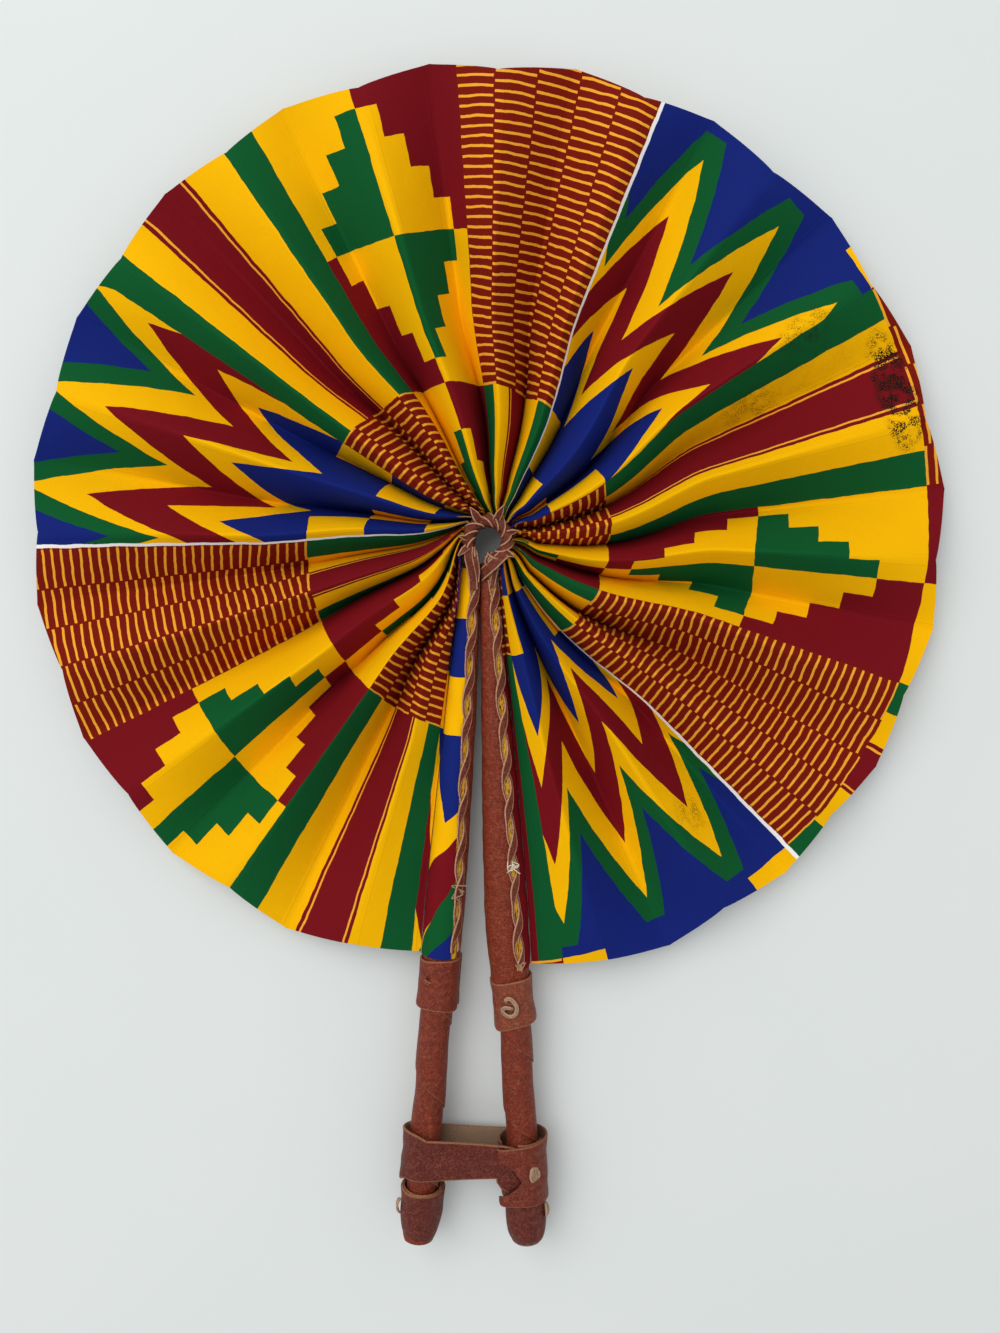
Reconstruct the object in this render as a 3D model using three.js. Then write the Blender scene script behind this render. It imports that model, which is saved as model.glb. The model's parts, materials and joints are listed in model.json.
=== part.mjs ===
// Folding cockade fan: a pleated cloth leaf between two leather-covered sticks.
// The leaf opens to a full disc round a laced hub, and folds up like an accordion
// until the two sticks lie side by side.
//
// Frame: the open fan lies flat. +X is right and +Y is up as one looks at its face,
// so the handles point to -Y, and +Z leaves the face. Millimetres and degrees.
// Inside this file the hub's centre, half way through the leaf, is (0, 0, 0).

import * as THREE from 'three';

// Fits shared by every piece
const fit = 0.3; // gap between two pieces that touch
const leather = 1.1; // thickness of the leather skins

// Leaf
const leafRadius = 185; // hub centre to rim
const pleatCount = 19;
const rimWave = 7; // height of the pleats at the rim
const ringDepth = 17; // height of the pleats where the hub gathers them
const gatherRun = 0.22; // share of the leaf over which the hub draws the pleats in
const cloth = 0.6; // two layers of printed cotton
const valleyGap = 0.4; // gap between neighbouring pleats
const cornerSetback = 6; // the leaf's two corners stop this far short of the rim
const rightRingInset = 12; // angle round the hub from the right stick's edge to the first ridge
const leftRingInset = 28; // and from the last ridge to the left stick's edge
const apexShare = 0.6; // the cloth fills a sharp ridge no deeper than this share of its height

// Hub
const eyeRadius = 5.3; // open hole in the middle
const gatherWidth = 2.5; // radial width of the leaf's gathered inner edge
const gatherHeight = 15; // its height along the hub's axis
const hubThongWidth = 1.7;
const hubThong = 0.9; // thickness of the thong
const hubLoops = 11; // turns of the thong round the gathered edge
const hubLoopSteps = 24; // points on each turn
const gatherSteps = 24; // segments of the gathered edge round the eye

// Sticks
const stickLength = 291.5; // from the stick's top to the outside of its end cap
const coreTop = 1.7; // radius of the wooden core at its top
const coreFoot = 5.9; // radius of the wooden core in the handle
const taperLength = 140;
const rightStickX = 0; // where the right stick's top stands beside the hub
const leftStickX = -6.9;
const rightTilt = 3.3; // lean of each stick away from straight down
const leftTilt = 4.7;
const coreSides = 12; // facets of the round pieces
const sleeveSides = 16;
const capSides = 20;

// Collars over the joint between sleeve and handle wrap
const rightCollarDrop = 6; // from the leaf's corner to the collar
const leftCollarDrop = 1;
const rightCollarHeight = 22;
const leftCollarHeight = 20;

// End caps
const capHeight = 24;
const capFloor = 1.5;
const capKnotDrop = 8; // from the cap's mouth to its knot

// Whip-stitched lacing along each stick
const laceWidth = 2.2;
const lace = 0.8; // thickness of the lace
const lacePitch = 17; // from one stitch to the next that leans the same way
const laceStart = 9; // bare length at each end of the lacing
const laceInner = 28; // the stitches run between these two angles round the stick,
const laceOuter = 72; // counted from its right side towards its face
const stitchSteps = 6; // points on each stitch
const clothSteps = 7; // strips of the cloth drawn round the stick

// Strap that holds the handles together
const strapHeight = 23;
const strapThickness = 1.6;
const strapAboveCap = 1.2; // between the strap's lower edge and the caps
const strapEase = 0.9; // room round the handles beside the fit
const strapSteps = 8; // segments of each round end
const strapKnotDrop = 5.75; // from the strap's middle down to its knot

// Knots
const knotCord = 2.2; // diameter of the knotted thong
const knotSpan = 5; // width of the bight that shows
const knotBends = [[-1, -0.5, 0], [-0.33, 0.25, 0.33], [0.33, -0.25, 0.33], [1, 0.5, 0]];
const knotSteps = 6; // knotBends are half spans across, then cord widths along and up
const roundSteps = 4; // segments of a small round section

const radians = THREE.MathUtils.degToRad;
const lerp = THREE.MathUtils.lerp;
const atAzimuth = (turn, radius) => new THREE.Vector3(
  radius * Math.cos(turn), radius * Math.sin(turn), 0);

// Colours of leather, thong, wood and of the print's blocks
const tone = {
  leather: { color: 0x8f4128, roughness: 0.6 },
  darkLeather: { color: 0x7c3520, roughness: 0.6 },
  thong: { color: 0xa5603f, roughness: 0.75 },
  wood: { color: 0xb08a5a, roughness: 0.8 },
  blue: { color: 0x1d2c8e, roughness: 0.85 },
  brick: { color: 0x8c3414, roughness: 0.85 },
  wine: { color: 0x6e1420, roughness: 0.85 },
  gold: { color: 0xe2a70c, roughness: 0.85 },
};

function piece(name, geometry, look) {
  const material = new THREE.MeshStandardMaterial({ ...look, metalness: 0 });
  const mesh = new THREE.Mesh(geometry, material);
  mesh.name = name;
  return mesh;
}

// Closed solid between two grids of points, face[i][j] above back[i][j]:
// both skins, the two long edges and the two ends.
function sheetSolid(face, back) {
  const rows = face.length;
  const columns = face[0].length;
  const positions = [];
  for (const grid of [face, back]) {
    for (const point of grid.flat()) positions.push(point.x, point.y, point.z);
  }
  const front = (i, j) => i * columns + j;
  const rear = (i, j) => rows * columns + i * columns + j;
  const index = [];
  const quad = (a, b, c, d) => index.push(a, b, c, a, c, d);
  for (let i = 0; i + 1 < rows; i += 1) {
    for (let j = 0; j + 1 < columns; j += 1) {
      quad(front(i, j), front(i + 1, j), front(i + 1, j + 1), front(i, j + 1));
      quad(rear(i, j), rear(i, j + 1), rear(i + 1, j + 1), rear(i + 1, j));
    }
    const last = columns - 1;
    quad(front(i, 0), rear(i, 0), rear(i + 1, 0), front(i + 1, 0));
    quad(front(i, last), front(i + 1, last), rear(i + 1, last), rear(i, last));
  }
  for (let j = 0; j + 1 < columns; j += 1) {
    const end = rows - 1;
    quad(front(0, j), front(0, j + 1), rear(0, j + 1), rear(0, j));
    quad(front(end, j), rear(end, j), rear(end, j + 1), front(end, j + 1));
  }
  const geometry = new THREE.BufferGeometry();
  geometry.setAttribute('position', new THREE.Float32BufferAttribute(positions, 3));
  geometry.setIndex(index);
  geometry.computeVertexNormals();
  return geometry;
}

// Flat thong along a path: its width lies across the path in the surface that it follows,
// and its thickness along that surface's outward normal.
function thongSolid(points, normals, width, thickness) {
  const face = [];
  const back = [];
  points.forEach((point, i) => {
    const before = points[Math.max(i - 1, 0)];
    const after = points[Math.min(i + 1, points.length - 1)];
    const along = after.clone().sub(before).normalize();
    const across = normals[i].clone().cross(along).normalize();
    const out = along.clone().cross(across);
    const corner = (side, height) => point.clone()
      .addScaledVector(across, side * width / 2)
      .addScaledVector(out, height * thickness / 2);
    face.push([corner(-1, 1), corner(1, 1)]);
    back.push([corner(-1, -1), corner(1, -1)]);
  });
  return sheetSolid(face, back);
}

// Turned tube on the stick's own axis, from [radius outside, distance down the stick] pairs
// and one wall thickness.
function sleeveSolid(outline, wall) {
  const outside = outline.map(([radius, down]) => new THREE.Vector2(radius, -down)).reverse();
  const inside = outline.map(([radius, down]) => new THREE.Vector2(radius - wall, -down));
  return new THREE.LatheGeometry([...outside, ...inside, outside[0].clone()], sleeveSides);
}

// Small bight of knotted thong that lies on a surface at z = 0.
function knotSolid() {
  const seat = knotCord / 2 + fit;
  const path = new THREE.CatmullRomCurve3(knotBends.map(([across, along, up]) => new THREE.Vector3(
    across * knotSpan / 2, along * knotCord, seat + up * knotCord)));
  const section = new THREE.Shape();
  section.absarc(0, 0, knotCord / 2, 0, 2 * Math.PI);
  const options = {
    extrudePath: path, steps: knotSteps, curveSegments: roundSteps, bevelEnabled: false,
  };
  return new THREE.ExtrudeGeometry(section, options);
}

// Hub sizes: the gathered edge lies inside the thong's turns, with a fit on every side.
const gatherInner = eyeRadius + hubThong + fit;
const gatherMiddle = gatherInner + gatherWidth / 2;
const hubOuter = gatherInner + gatherWidth + fit + hubThong;
const leafInner = hubOuter + fit + cloth;

// Stick sizes
const coreRadius = (down) => lerp(coreTop, coreFoot, Math.min(down / taperLength, 1));
const skinRadius = (down) => coreRadius(down) + fit + leather;
const collarRadius = coreFoot + 2 * fit + 2 * leather;
const capRadius = collarRadius;
const leafCornerDown = leafRadius - leafInner - cornerSetback;
const capTop = stickLength - capHeight;

// Each stick: side is +1 where the leaf starts on its right, -1 where it ends on its left.
const rightStick = {
  name: 'right',
  side: 1,
  x: rightStickX,
  tilt: rightTilt,
  collarTop: leafCornerDown + rightCollarDrop,
  collarHeight: rightCollarHeight,
  clothOnFace: false,
};
const leftStick = {
  name: 'left',
  side: -1,
  x: leftStickX,
  tilt: -leftTilt,
  collarTop: leafCornerDown + leftCollarDrop,
  collarHeight: leftCollarHeight,
  clothOnFace: true,
};

// Point beside the hub's plane given in a stick's own directions: across it and down it.
function besideStick(stick, across, down) {
  const turned = new THREE.Vector2(across, -down).rotateAround(
    new THREE.Vector2(), radians(stick.tilt));
  return new THREE.Vector3(stick.x + turned.x, turned.y - leafInner, 0);
}

// Point on a stick's round skin, lifted off it, at an angle from its right side.
function onSkin(angle, down, lift) {
  const radius = skinRadius(down) + lift;
  const turn = radians(angle);
  return new THREE.Vector3(radius * Math.cos(turn), -down, radius * Math.sin(turn));
}

// Leaf: fold lines run from the gathered edge to the rim, valleys at even numbers.
const foldCount = 2 * pleatCount;
const leafEdge = (stick, down) => besideStick(
  stick, stick.side * (skinRadius(down) + fit + cloth + fit), down);
const rimStart = leafEdge(rightStick, leafCornerDown);
const rimEnd = leafEdge(leftStick, leafCornerDown);
const azimuth = (point) => Math.atan2(point.y, point.x);
const rimTurn = (fold) => lerp(
  azimuth(rimStart), azimuth(rimEnd) + 2 * Math.PI, fold / foldCount);
const hubStart = azimuth(leafEdge(rightStick, 0));
const hubEnd = azimuth(leafEdge(leftStick, 0)) + 2 * Math.PI;
const ringStart = hubStart + radians(rightRingInset);
const ringEnd = hubEnd - radians(leftRingInset);
const ringTurn = (fold) => lerp(ringStart, ringEnd, (fold - 1) / (foldCount - 2));

function foldPlan(fold, share) {
  if (fold === 0 || fold === foldCount) {
    return leafEdge(fold === 0 ? rightStick : leftStick, share * leafCornerDown);
  }
  const inner = atAzimuth(ringTurn(fold), leafInner);
  const outer = atAzimuth(rimTurn(fold), leafRadius);
  return inner.lerp(outer, share);
}

// A pleat's height follows from its panels, which keep one width from hub to rim,
// until the hub draws them in.
const middleFold = pleatCount;
const foldSpacing = (share) => foldPlan(middleFold, share).distanceTo(foldPlan(middleFold + 1, share));
const panelWidth = Math.hypot(foldSpacing(1), rimWave);
function pleatHeight(share) {
  const free = Math.sqrt(panelWidth ** 2 - foldSpacing(share) ** 2);
  return lerp(ringDepth, free, THREE.MathUtils.smoothstep(share, 0, gatherRun));
}

function foldPoint(fold, share) {
  const point = foldPlan(fold, share);
  if (fold === 0 || fold === foldCount) return point;
  point.z = (fold % 2 === 0 ? -0.5 : 0.5) * pleatHeight(share);
  return point;
}

// One pleat: two panels that meet in a ridge, from valley to valley. Its rows of points stand
// closer where the hub draws it in, and are given as shares of its length.
const pleatShares = [0, 0.05, 0.12, gatherRun, 0.4, 0.6, 0.8, 1];
function pleatSolid(number, pivot) {
  const ridge = 2 * number - 1;
  const face = [];
  const back = [];
  for (const share of pleatShares) {
    const top = foldPoint(ridge, share).sub(pivot);
    const along = foldPoint(ridge, 1).sub(foldPoint(ridge, 0)).setZ(0).normalize();
    const feet = [ridge - 1, ridge + 1].map((fold) => {
      const foot = foldPoint(fold, share).sub(pivot);
      const inward = top.clone().sub(foot).setZ(0).normalize();
      return foot.addScaledVector(inward, valleyGap / 2);
    });
    const normals = feet.map((foot, i) => {
      const up = top.clone().sub(foot).cross(along).normalize();
      return i === 0 ? up.negate() : up;
    });
    const shared = normals[0].clone().add(normals[1]);
    const miter = cloth * shared.length() / (1 + normals[0].dot(normals[1]));
    shared.setLength(Math.min(miter, apexShare * pleatHeight(share)));
    face.push([feet[0], top, feet[1]]);
    back.push([
      feet[0].clone().addScaledVector(normals[0], -cloth),
      top.clone().sub(shared),
      feet[1].clone().addScaledVector(normals[1], -cloth),
    ]);
  }
  return sheetSolid(face, back);
}

// Hinge line of a pleat, in the middle of its gathered edge.
function pleatPivot(number) {
  return atAzimuth(ringTurn(2 * number - 1), gatherMiddle);
}

// Colour of the print's main block at each pleat; the print repeats round the leaf.
const printRepeats = 3;
const printBlocks = ['blue', 'blue', 'brick', 'brick', 'wine', 'gold', 'gold'];
function printColour(number) {
  const block = Math.floor((number - 1) * printRepeats * printBlocks.length / pleatCount);
  return tone[printBlocks[block % printBlocks.length]];
}

// Hub: the leaf's gathered inner edge, an upright band bent round the eye.
class HubArc extends THREE.Curve {
  getPoint(share) {
    return atAzimuth(lerp(hubStart, hubEnd, share), gatherMiddle);
  }
}

function gatherSolid() {
  const radius = gatherWidth / 2;
  const straight = gatherHeight / 2 - radius;
  const section = new THREE.Shape();
  section.absarc(straight, 0, radius, -Math.PI / 2, Math.PI / 2);
  section.absarc(-straight, 0, radius, Math.PI / 2, 1.5 * Math.PI);
  const options = {
    extrudePath: new HubArc(), steps: gatherSteps, curveSegments: roundSteps, bevelEnabled: false,
  };
  return new THREE.ExtrudeGeometry(section, options);
}

// The hub's thong: turns of one unbroken thong round the gathered edge. Each turn is an upright
// oval of two straight sides and two half circles, and moves on round the eye at a steady rate.
function hubThongPath() {
  const radius = gatherWidth / 2 + fit + hubThong / 2;
  const straight = gatherHeight - gatherWidth;
  const lap = 2 * straight + 2 * Math.PI * radius;
  const count = hubLoops * hubLoopSteps;
  const points = [];
  const normals = [];
  for (let i = 0; i <= count; i += 1) {
    const turn = lerp(hubStart, hubEnd, i / count);
    const run = (i / hubLoopSteps % 1) * lap;
    const half = lap / 2;
    const upward = run < half;
    const rest = upward ? run : run - half;
    const sign = upward ? 1 : -1;
    const bend = Math.max(0, rest - straight) / radius;
    const height = sign * (Math.min(rest, straight) - straight / 2 + radius * Math.sin(bend));
    const out = sign * Math.cos(bend);
    points.push(atAzimuth(turn, gatherMiddle + radius * out).setZ(height));
    normals.push(atAzimuth(turn, out).setZ(sign * Math.sin(bend)));
  }
  return { points, normals };
}

// Least gap between neighbouring turns of a thong, from the points of its middle line.
function leastGap(points, stepsApart, width) {
  let least = Infinity;
  points.forEach((point, i) => {
    for (let k = i + stepsApart; k < points.length; k += 1) {
      least = Math.min(least, point.distanceTo(points[k]) - width);
    }
  });
  return least;
}

// Lacing along a stick: one lace that crosses back and forth over the seam.
function lacingSolid(stick) {
  const run = leafCornerDown - 2 * laceStart;
  const stitches = 2 * Math.floor(run / lacePitch);
  const lift = fit + lace / 2;
  const points = [];
  const normals = [];
  for (let i = 0; i <= stitches * stitchSteps; i += 1) {
    const stitch = Math.floor(i / stitchSteps);
    const share = i / stitchSteps - stitch;
    const swing = stitch % 2 === 0 ? share : 1 - share;
    const angle = lerp(laceInner, laceOuter, swing);
    const down = laceStart + i / stitchSteps * lacePitch / 2;
    points.push(onSkin(angle, down, lift));
    normals.push(new THREE.Vector3(Math.cos(radians(angle)), 0, Math.sin(radians(angle))));
  }
  const gap = leastGap(points, 2 * stitchSteps, laceWidth);
  console.log(`${stick.name} edge lacing: least gap to itself ${gap.toFixed(2)} mm`);
  return thongSolid(points, normals, laceWidth, lace);
}

// Cloth drawn from the leaf's edge over the stick's face or back, up to the lacing's stitches.
function clothWrapSolid(stick) {
  const stations = [laceStart, taperLength, leafCornerDown];
  const clear = THREE.MathUtils.radToDeg((laceWidth + fit) / skinRadius(laceStart));
  const turn = 180 - laceOuter - clear;
  const start = stick.clothOnFace ? 180 : 0;
  const grid = (lift) => stations.map((down) => Array.from({ length: clothSteps + 1 }, (_, j) => (
    onSkin(start - turn * j / clothSteps, down, lift))));
  return sheetSolid(grid(fit + cloth), grid(fit));
}

// Everything on one stick, in a group that stands at the stick's top and leans with it.
function buildStick(stick) {
  const group = new THREE.Group();
  group.position.set(stick.x, -leafInner, 0);
  group.rotation.z = radians(stick.tilt);
  const add = (part, geometry, look) => {
    const mesh = piece(`${stick.name}_${part}`, geometry, look);
    group.add(mesh);
    return mesh;
  };
  const coreEnd = stickLength - capFloor - fit;
  const core = [[0, coreEnd], [coreFoot, coreEnd], [coreFoot, taperLength], [coreTop, 0], [0, 0]];
  const corePoints = core.map(([radius, down]) => new THREE.Vector2(radius, -down));
  add('stick_core', new THREE.LatheGeometry(corePoints, coreSides), tone.wood);

  const joint = stick.collarTop + stick.collarHeight / 2;
  const skinFoot = skinRadius(joint);
  const sleeve = [[skinRadius(0), 0], [skinFoot, taperLength], [skinFoot, joint - fit / 2]];
  add('stick_sleeve', sleeveSolid(sleeve, leather), tone.leather);
  const wrap = [[skinFoot, joint + fit / 2], [skinFoot, coreEnd]];
  add('handle_wrap', sleeveSolid(wrap, leather), tone.darkLeather);

  const collarEnd = stick.collarTop + stick.collarHeight;
  const collar = [[collarRadius, stick.collarTop], [collarRadius, collarEnd]];
  add('collar', sleeveSolid(collar, leather), tone.leather);
  const collarKnot = add('collar_knot', knotSolid(), tone.thong);
  collarKnot.position.set(0, -stick.collarTop - stick.collarHeight / 2, collarRadius);

  const capInside = capRadius - leather;
  const cap = [
    [0, stickLength], [capRadius, stickLength], [capRadius, capTop],
    [capInside, capTop], [capInside, coreEnd + fit], [0, coreEnd + fit],
  ];
  const capPoints = cap.map(([radius, down]) => new THREE.Vector2(radius, -down));
  add('end_cap', new THREE.LatheGeometry(capPoints, capSides), tone.darkLeather);
  const capKnot = add('cap_knot', knotSolid(), tone.thong);
  capKnot.position.set(stick.side * capRadius, -capTop - capKnotDrop, 0);
  capKnot.rotation.y = stick.side * Math.PI / 2;

  add('edge_lacing', lacingSolid(stick), tone.thong);
  add('cloth_wrap', clothWrapSolid(stick), stick.clothOnFace ? tone.gold : tone.wine);
  return group;
}

// Strap: one band round both handles, its round ends centred on the handles' axes.
const strapBottomDown = capTop - strapAboveCap;
const strapMiddleDown = strapBottomDown - strapHeight / 2;
const strapRight = besideStick(rightStick, 0, strapMiddleDown);
const strapLeft = besideStick(leftStick, 0, strapMiddleDown);
const strapInside = skinRadius(stickLength) + fit + strapEase;
const strapOutside = strapInside + strapThickness;

function roundedBand(path, radius) {
  path.absarc(strapRight.x, 0, radius, -Math.PI / 2, Math.PI / 2);
  path.absarc(strapLeft.x, 0, radius, Math.PI / 2, 1.5 * Math.PI);
  path.closePath();
  return path;
}

function buildStrap() {
  const group = new THREE.Group();
  const band = roundedBand(new THREE.Shape(), strapOutside);
  band.holes.push(roundedBand(new THREE.Path(), strapInside));
  const options = { depth: strapHeight, curveSegments: strapSteps, bevelEnabled: false };
  const loop = piece('strap_loop', new THREE.ExtrudeGeometry(band, options), tone.leather);
  loop.rotation.x = Math.PI / 2;
  loop.position.y = strapRight.y + strapHeight / 2;
  group.add(loop);
  const knot = piece('strap_knot', knotSolid(), tone.thong);
  knot.position.set(strapRight.x, strapRight.y - strapKnotDrop, strapOutside);
  group.add(knot);
  return group;
}

// The folding chain: each pleat hangs on the one before it, and the left stick on the last.
const fan = new THREE.Group();
fan.add(buildStick(rightStick));
fan.add(buildStrap());
fan.add(piece('hub_gather', gatherSolid(), tone.wine));
const hubPath = hubThongPath();
const hubGap = leastGap(hubPath.points, Math.round(hubLoopSteps / 2), hubThongWidth);
console.log(`hub lacing: least gap to itself ${hubGap.toFixed(2)} mm`);
const hubLacing = thongSolid(hubPath.points, hubPath.normals, hubThongWidth, hubThong);
fan.add(piece('hub_lacing', hubLacing, tone.thong));

let carrier = fan;
let carrierPivot = new THREE.Vector3();
for (let number = 1; number <= pleatCount; number += 1) {
  const pivot = pleatPivot(number);
  const hinge = new THREE.Group();
  hinge.position.copy(pivot).sub(carrierPivot);
  carrier.add(hinge);
  const label = String(number).padStart(2, '0');
  hinge.add(piece(`pleat_${label}`, pleatSolid(number, pivot), printColour(number)));
  carrier = hinge;
  carrierPivot = pivot;
}
const leftGuard = buildStick(leftStick);
leftGuard.position.sub(carrierPivot);
carrier.add(leftGuard);

// The open fan stands on z = 0, with the middle of its outline over the origin.
fan.updateMatrixWorld(true);
const extent = new THREE.Box3().setFromObject(fan, true);
const middle = extent.getCenter(new THREE.Vector3());
fan.position.set(-middle.x, -middle.y, -extent.min.z);

export default fan;
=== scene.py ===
# %% [markdown]
# # A round folding fan
# The fan is a disc of pleated, printed cotton between two leather-covered sticks. Folded, its pleats lie
# like a closed accordion between the sticks. Open, the sticks meet, and a strap holds their handles.
# This notebook makes what the eye sees: cloth with its print, leather with its cut edges, thongs and
# knots. Every shape is worked out with numpy, in millimetres from the middle of the hub, with +X to the
# right of the fan's face, +Y up the leaf and +Z out of the face towards the viewer.

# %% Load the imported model
import json
import math
from types import SimpleNamespace

import bpy
import numpy as np
from mathutils import Matrix, Vector


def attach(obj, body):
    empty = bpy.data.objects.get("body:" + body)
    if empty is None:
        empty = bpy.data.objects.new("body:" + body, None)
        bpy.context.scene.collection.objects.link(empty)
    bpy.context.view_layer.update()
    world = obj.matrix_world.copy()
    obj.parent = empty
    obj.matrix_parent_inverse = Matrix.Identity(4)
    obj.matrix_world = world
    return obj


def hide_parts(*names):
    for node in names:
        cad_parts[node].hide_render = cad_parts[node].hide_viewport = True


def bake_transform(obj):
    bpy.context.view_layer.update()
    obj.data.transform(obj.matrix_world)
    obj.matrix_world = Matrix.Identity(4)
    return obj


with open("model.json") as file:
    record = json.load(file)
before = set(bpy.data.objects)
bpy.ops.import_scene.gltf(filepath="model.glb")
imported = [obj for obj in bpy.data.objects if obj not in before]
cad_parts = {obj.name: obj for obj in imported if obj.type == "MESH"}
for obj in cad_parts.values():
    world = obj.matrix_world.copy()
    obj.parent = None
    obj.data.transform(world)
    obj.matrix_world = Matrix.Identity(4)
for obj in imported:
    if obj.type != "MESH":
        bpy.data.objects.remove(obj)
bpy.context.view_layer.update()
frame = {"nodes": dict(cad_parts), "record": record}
MM = 0.001
HUB = np.array(next(m["pos_m"] for m in frame["record"]["mounts"] if m["name"] == "hub_eye")) / MM

# %% [markdown]
# ## Sizes
# The leaf has nineteen pleats, so thirty-eight panels with a fold line between each two. Even fold lines
# are valleys and odd ones are ridges. The first and the last lie along the two sticks, which lean a little
# apart. These are the same sizes that the CAD model was built from, so each surface lands on its solid.

# %% Sizes in millimetres, angles in radians
PLEATS = 19
FOLDS = 2 * PLEATS
LEAF_RADIUS = 185.0
LEAF_INNER = 11.1  # hub's middle to the inner end of the pleats
CORNER_DOWN = 167.9  # from a stick's top to the leaf's corner, before it is trimmed
RING_DEPTH = 17.0  # height of the pleats where the hub gathers them
RIM_WAVE = 7.0  # and at the rim
SCALLOP = 3.0  # how much further out than its middle the rim is cut in the valleys
CLOTH = 0.6  # thickness of the double cloth
FIT = 0.3  # room between two layers
LEATHER = 1.1
CORE_RADIUS = [1.7, 5.9]  # of a stick's wooden core at the hub and in the handle
CORE_TAPER = 140.0  # length over which the core grows
STICK_LENGTH = 291.5
CAP_TOP = 267.5  # from a stick's top to the mouth of its cap
CAP_RADIUS = 8.7
# side is +1 or -1, x is the stick's top beside the hub's middle, and the others are distances down the stick
RIGHT = SimpleNamespace(name="right", body="right_guard", side=1, x=0.0, lean=math.radians(3.3),
                        collar=(173.9, 195.9), corner=CORNER_DOWN)
LEFT = SimpleNamespace(name="left", body="left_guard", side=-1, x=-6.9, lean=math.radians(-4.7),
                       collar=(168.9, 188.9), corner=163.0)
BODIES = [RIGHT.body, *(f"leaf_{n:02d}" for n in range(1, PLEATS)), LEFT.body]
print("chain of", len(BODIES), "bodies from", BODIES[0], "to", BODIES[-1])


# %% Places on a stick
def lerp(first, last, share):
    """The value a share of the way from first to last."""
    return first + (last - first) * share


def ease(value, low, high):
    """0 below low, 1 above high, and a smooth rise 3t^2 - 2t^3 between them."""
    t = np.clip((value - low) / (high - low), 0, 1)
    return t * t * (3 - 2 * t)


def spread(*parts):
    """Arrays of fitting shapes, spread over one grid and stacked as its last axis."""
    return np.stack(np.broadcast_arrays(*parts), -1)


def skin_radius(down):
    """Radius of a covered stick: its tapered core, a fit and the leather."""
    return np.interp(down, [0, CORE_TAPER], CORE_RADIUS) + FIT + LEATHER


def on_stick(stick, angle, down, radius):
    """A point at an angle round a stick (0 at its right, a quarter turn at its face), some way down it.

    Across the stick it is radius * cos(angle) and out of the face radius * sin(angle); the two directions
    in the leaf's plane are turned by the stick's lean, and the stick's top is the starting point.
    """
    across = radius * np.cos(angle)
    x = stick.x + across * math.cos(stick.lean) + down * math.sin(stick.lean)
    y = -LEAF_INNER + across * math.sin(stick.lean) - down * math.cos(stick.lean)
    return spread(x, y, radius * np.sin(angle))


print("skin radius at the hub and in the handle:", skin_radius(0), skin_radius(200))

# %% [markdown]
# ## From grids to meshes
# Every piece is one or more grids of points. Blender's own tubes and planes would do for the plainest ones,
# but cloth that bends and leather that laps need points put where a formula says. A grid of rows and columns
# turns into four-cornered faces by index arithmetic alone, so no loop ever visits a vertex. A grid may close
# on itself in either direction: it then repeats its first row or column at the end, and the repeat only
# lends its place on the UV map.
# A sheet of cloth is two grids, a face and a back, that share their border, which closes the sheet with a
# thin edge. The UV map holds millimetres: on cloth the place on the print, on leather the side of the hide.


# %% Grids, sheets and pieces
def patch(points, lay, round_rows=False, round_columns=False, caps=False, turn=False):
    """Vertices, faces and corner UVs of one grid; caps closes the two end rings with one face each."""
    rows, columns = points.shape[0] - round_rows, points.shape[1] - round_columns
    r = np.arange(points.shape[0] - 1)[:, None]
    c = np.arange(points.shape[1] - 1)[None, :]
    steps = [(0, 0), (0, 1), (1, 1), (1, 0)][:: -1 if turn else 1]
    quads = np.stack([(r + i) % rows * columns + (c + j) % columns for i, j in steps], -1).reshape(-1, 4)
    uvs = np.stack([lay[r + i, c + j] for i, j in steps], -2).reshape(-1, 2)
    faces = quads.tolist()
    if caps:
        ring = np.arange(columns)[:: 1 if turn else -1]
        faces += [ring.tolist(), ((rows - 1) * columns + ring[::-1]).tolist()]
        uvs = np.concatenate([uvs, lay[0, ring], lay[rows - 1, ring[::-1]]])
    return points[:rows, :columns].reshape(-1, 3), faces, uvs


def sheet_patch(face, back, lay, back_lay):
    """Two grids of the same size that share their border vertices: a closed sheet of cloth."""
    rows, columns = face.shape[:2]
    front = np.arange(rows * columns).reshape(rows, columns)
    rear = front.copy()
    rear[1:-1, 1:-1] = rows * columns + np.arange((rows - 2) * (columns - 2)).reshape(rows - 2, -1)
    corners = [np.s_[:-1, :-1], np.s_[:-1, 1:], np.s_[1:, 1:], np.s_[1:, :-1]]
    quads = [np.stack([grid[s] for s in order], -1).reshape(-1, 4)
             for grid, order in ((front, corners[::-1]), (rear, corners))]
    uvs = [np.stack([grid[s] for s in order], -2).reshape(-1, 2)
           for grid, order in ((lay, corners[::-1]), (back_lay, corners))]
    verts = np.concatenate([face.reshape(-1, 3), back[1:-1, 1:-1].reshape(-1, 3)])
    return verts, np.concatenate(quads).tolist(), np.concatenate(uvs)


def place(mesh, points):
    """Puts the vertices at points given in millimetres from the hub."""
    mesh.vertices.foreach_set("co", ((points + HUB) * MM).ravel())
    mesh.update()


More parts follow.
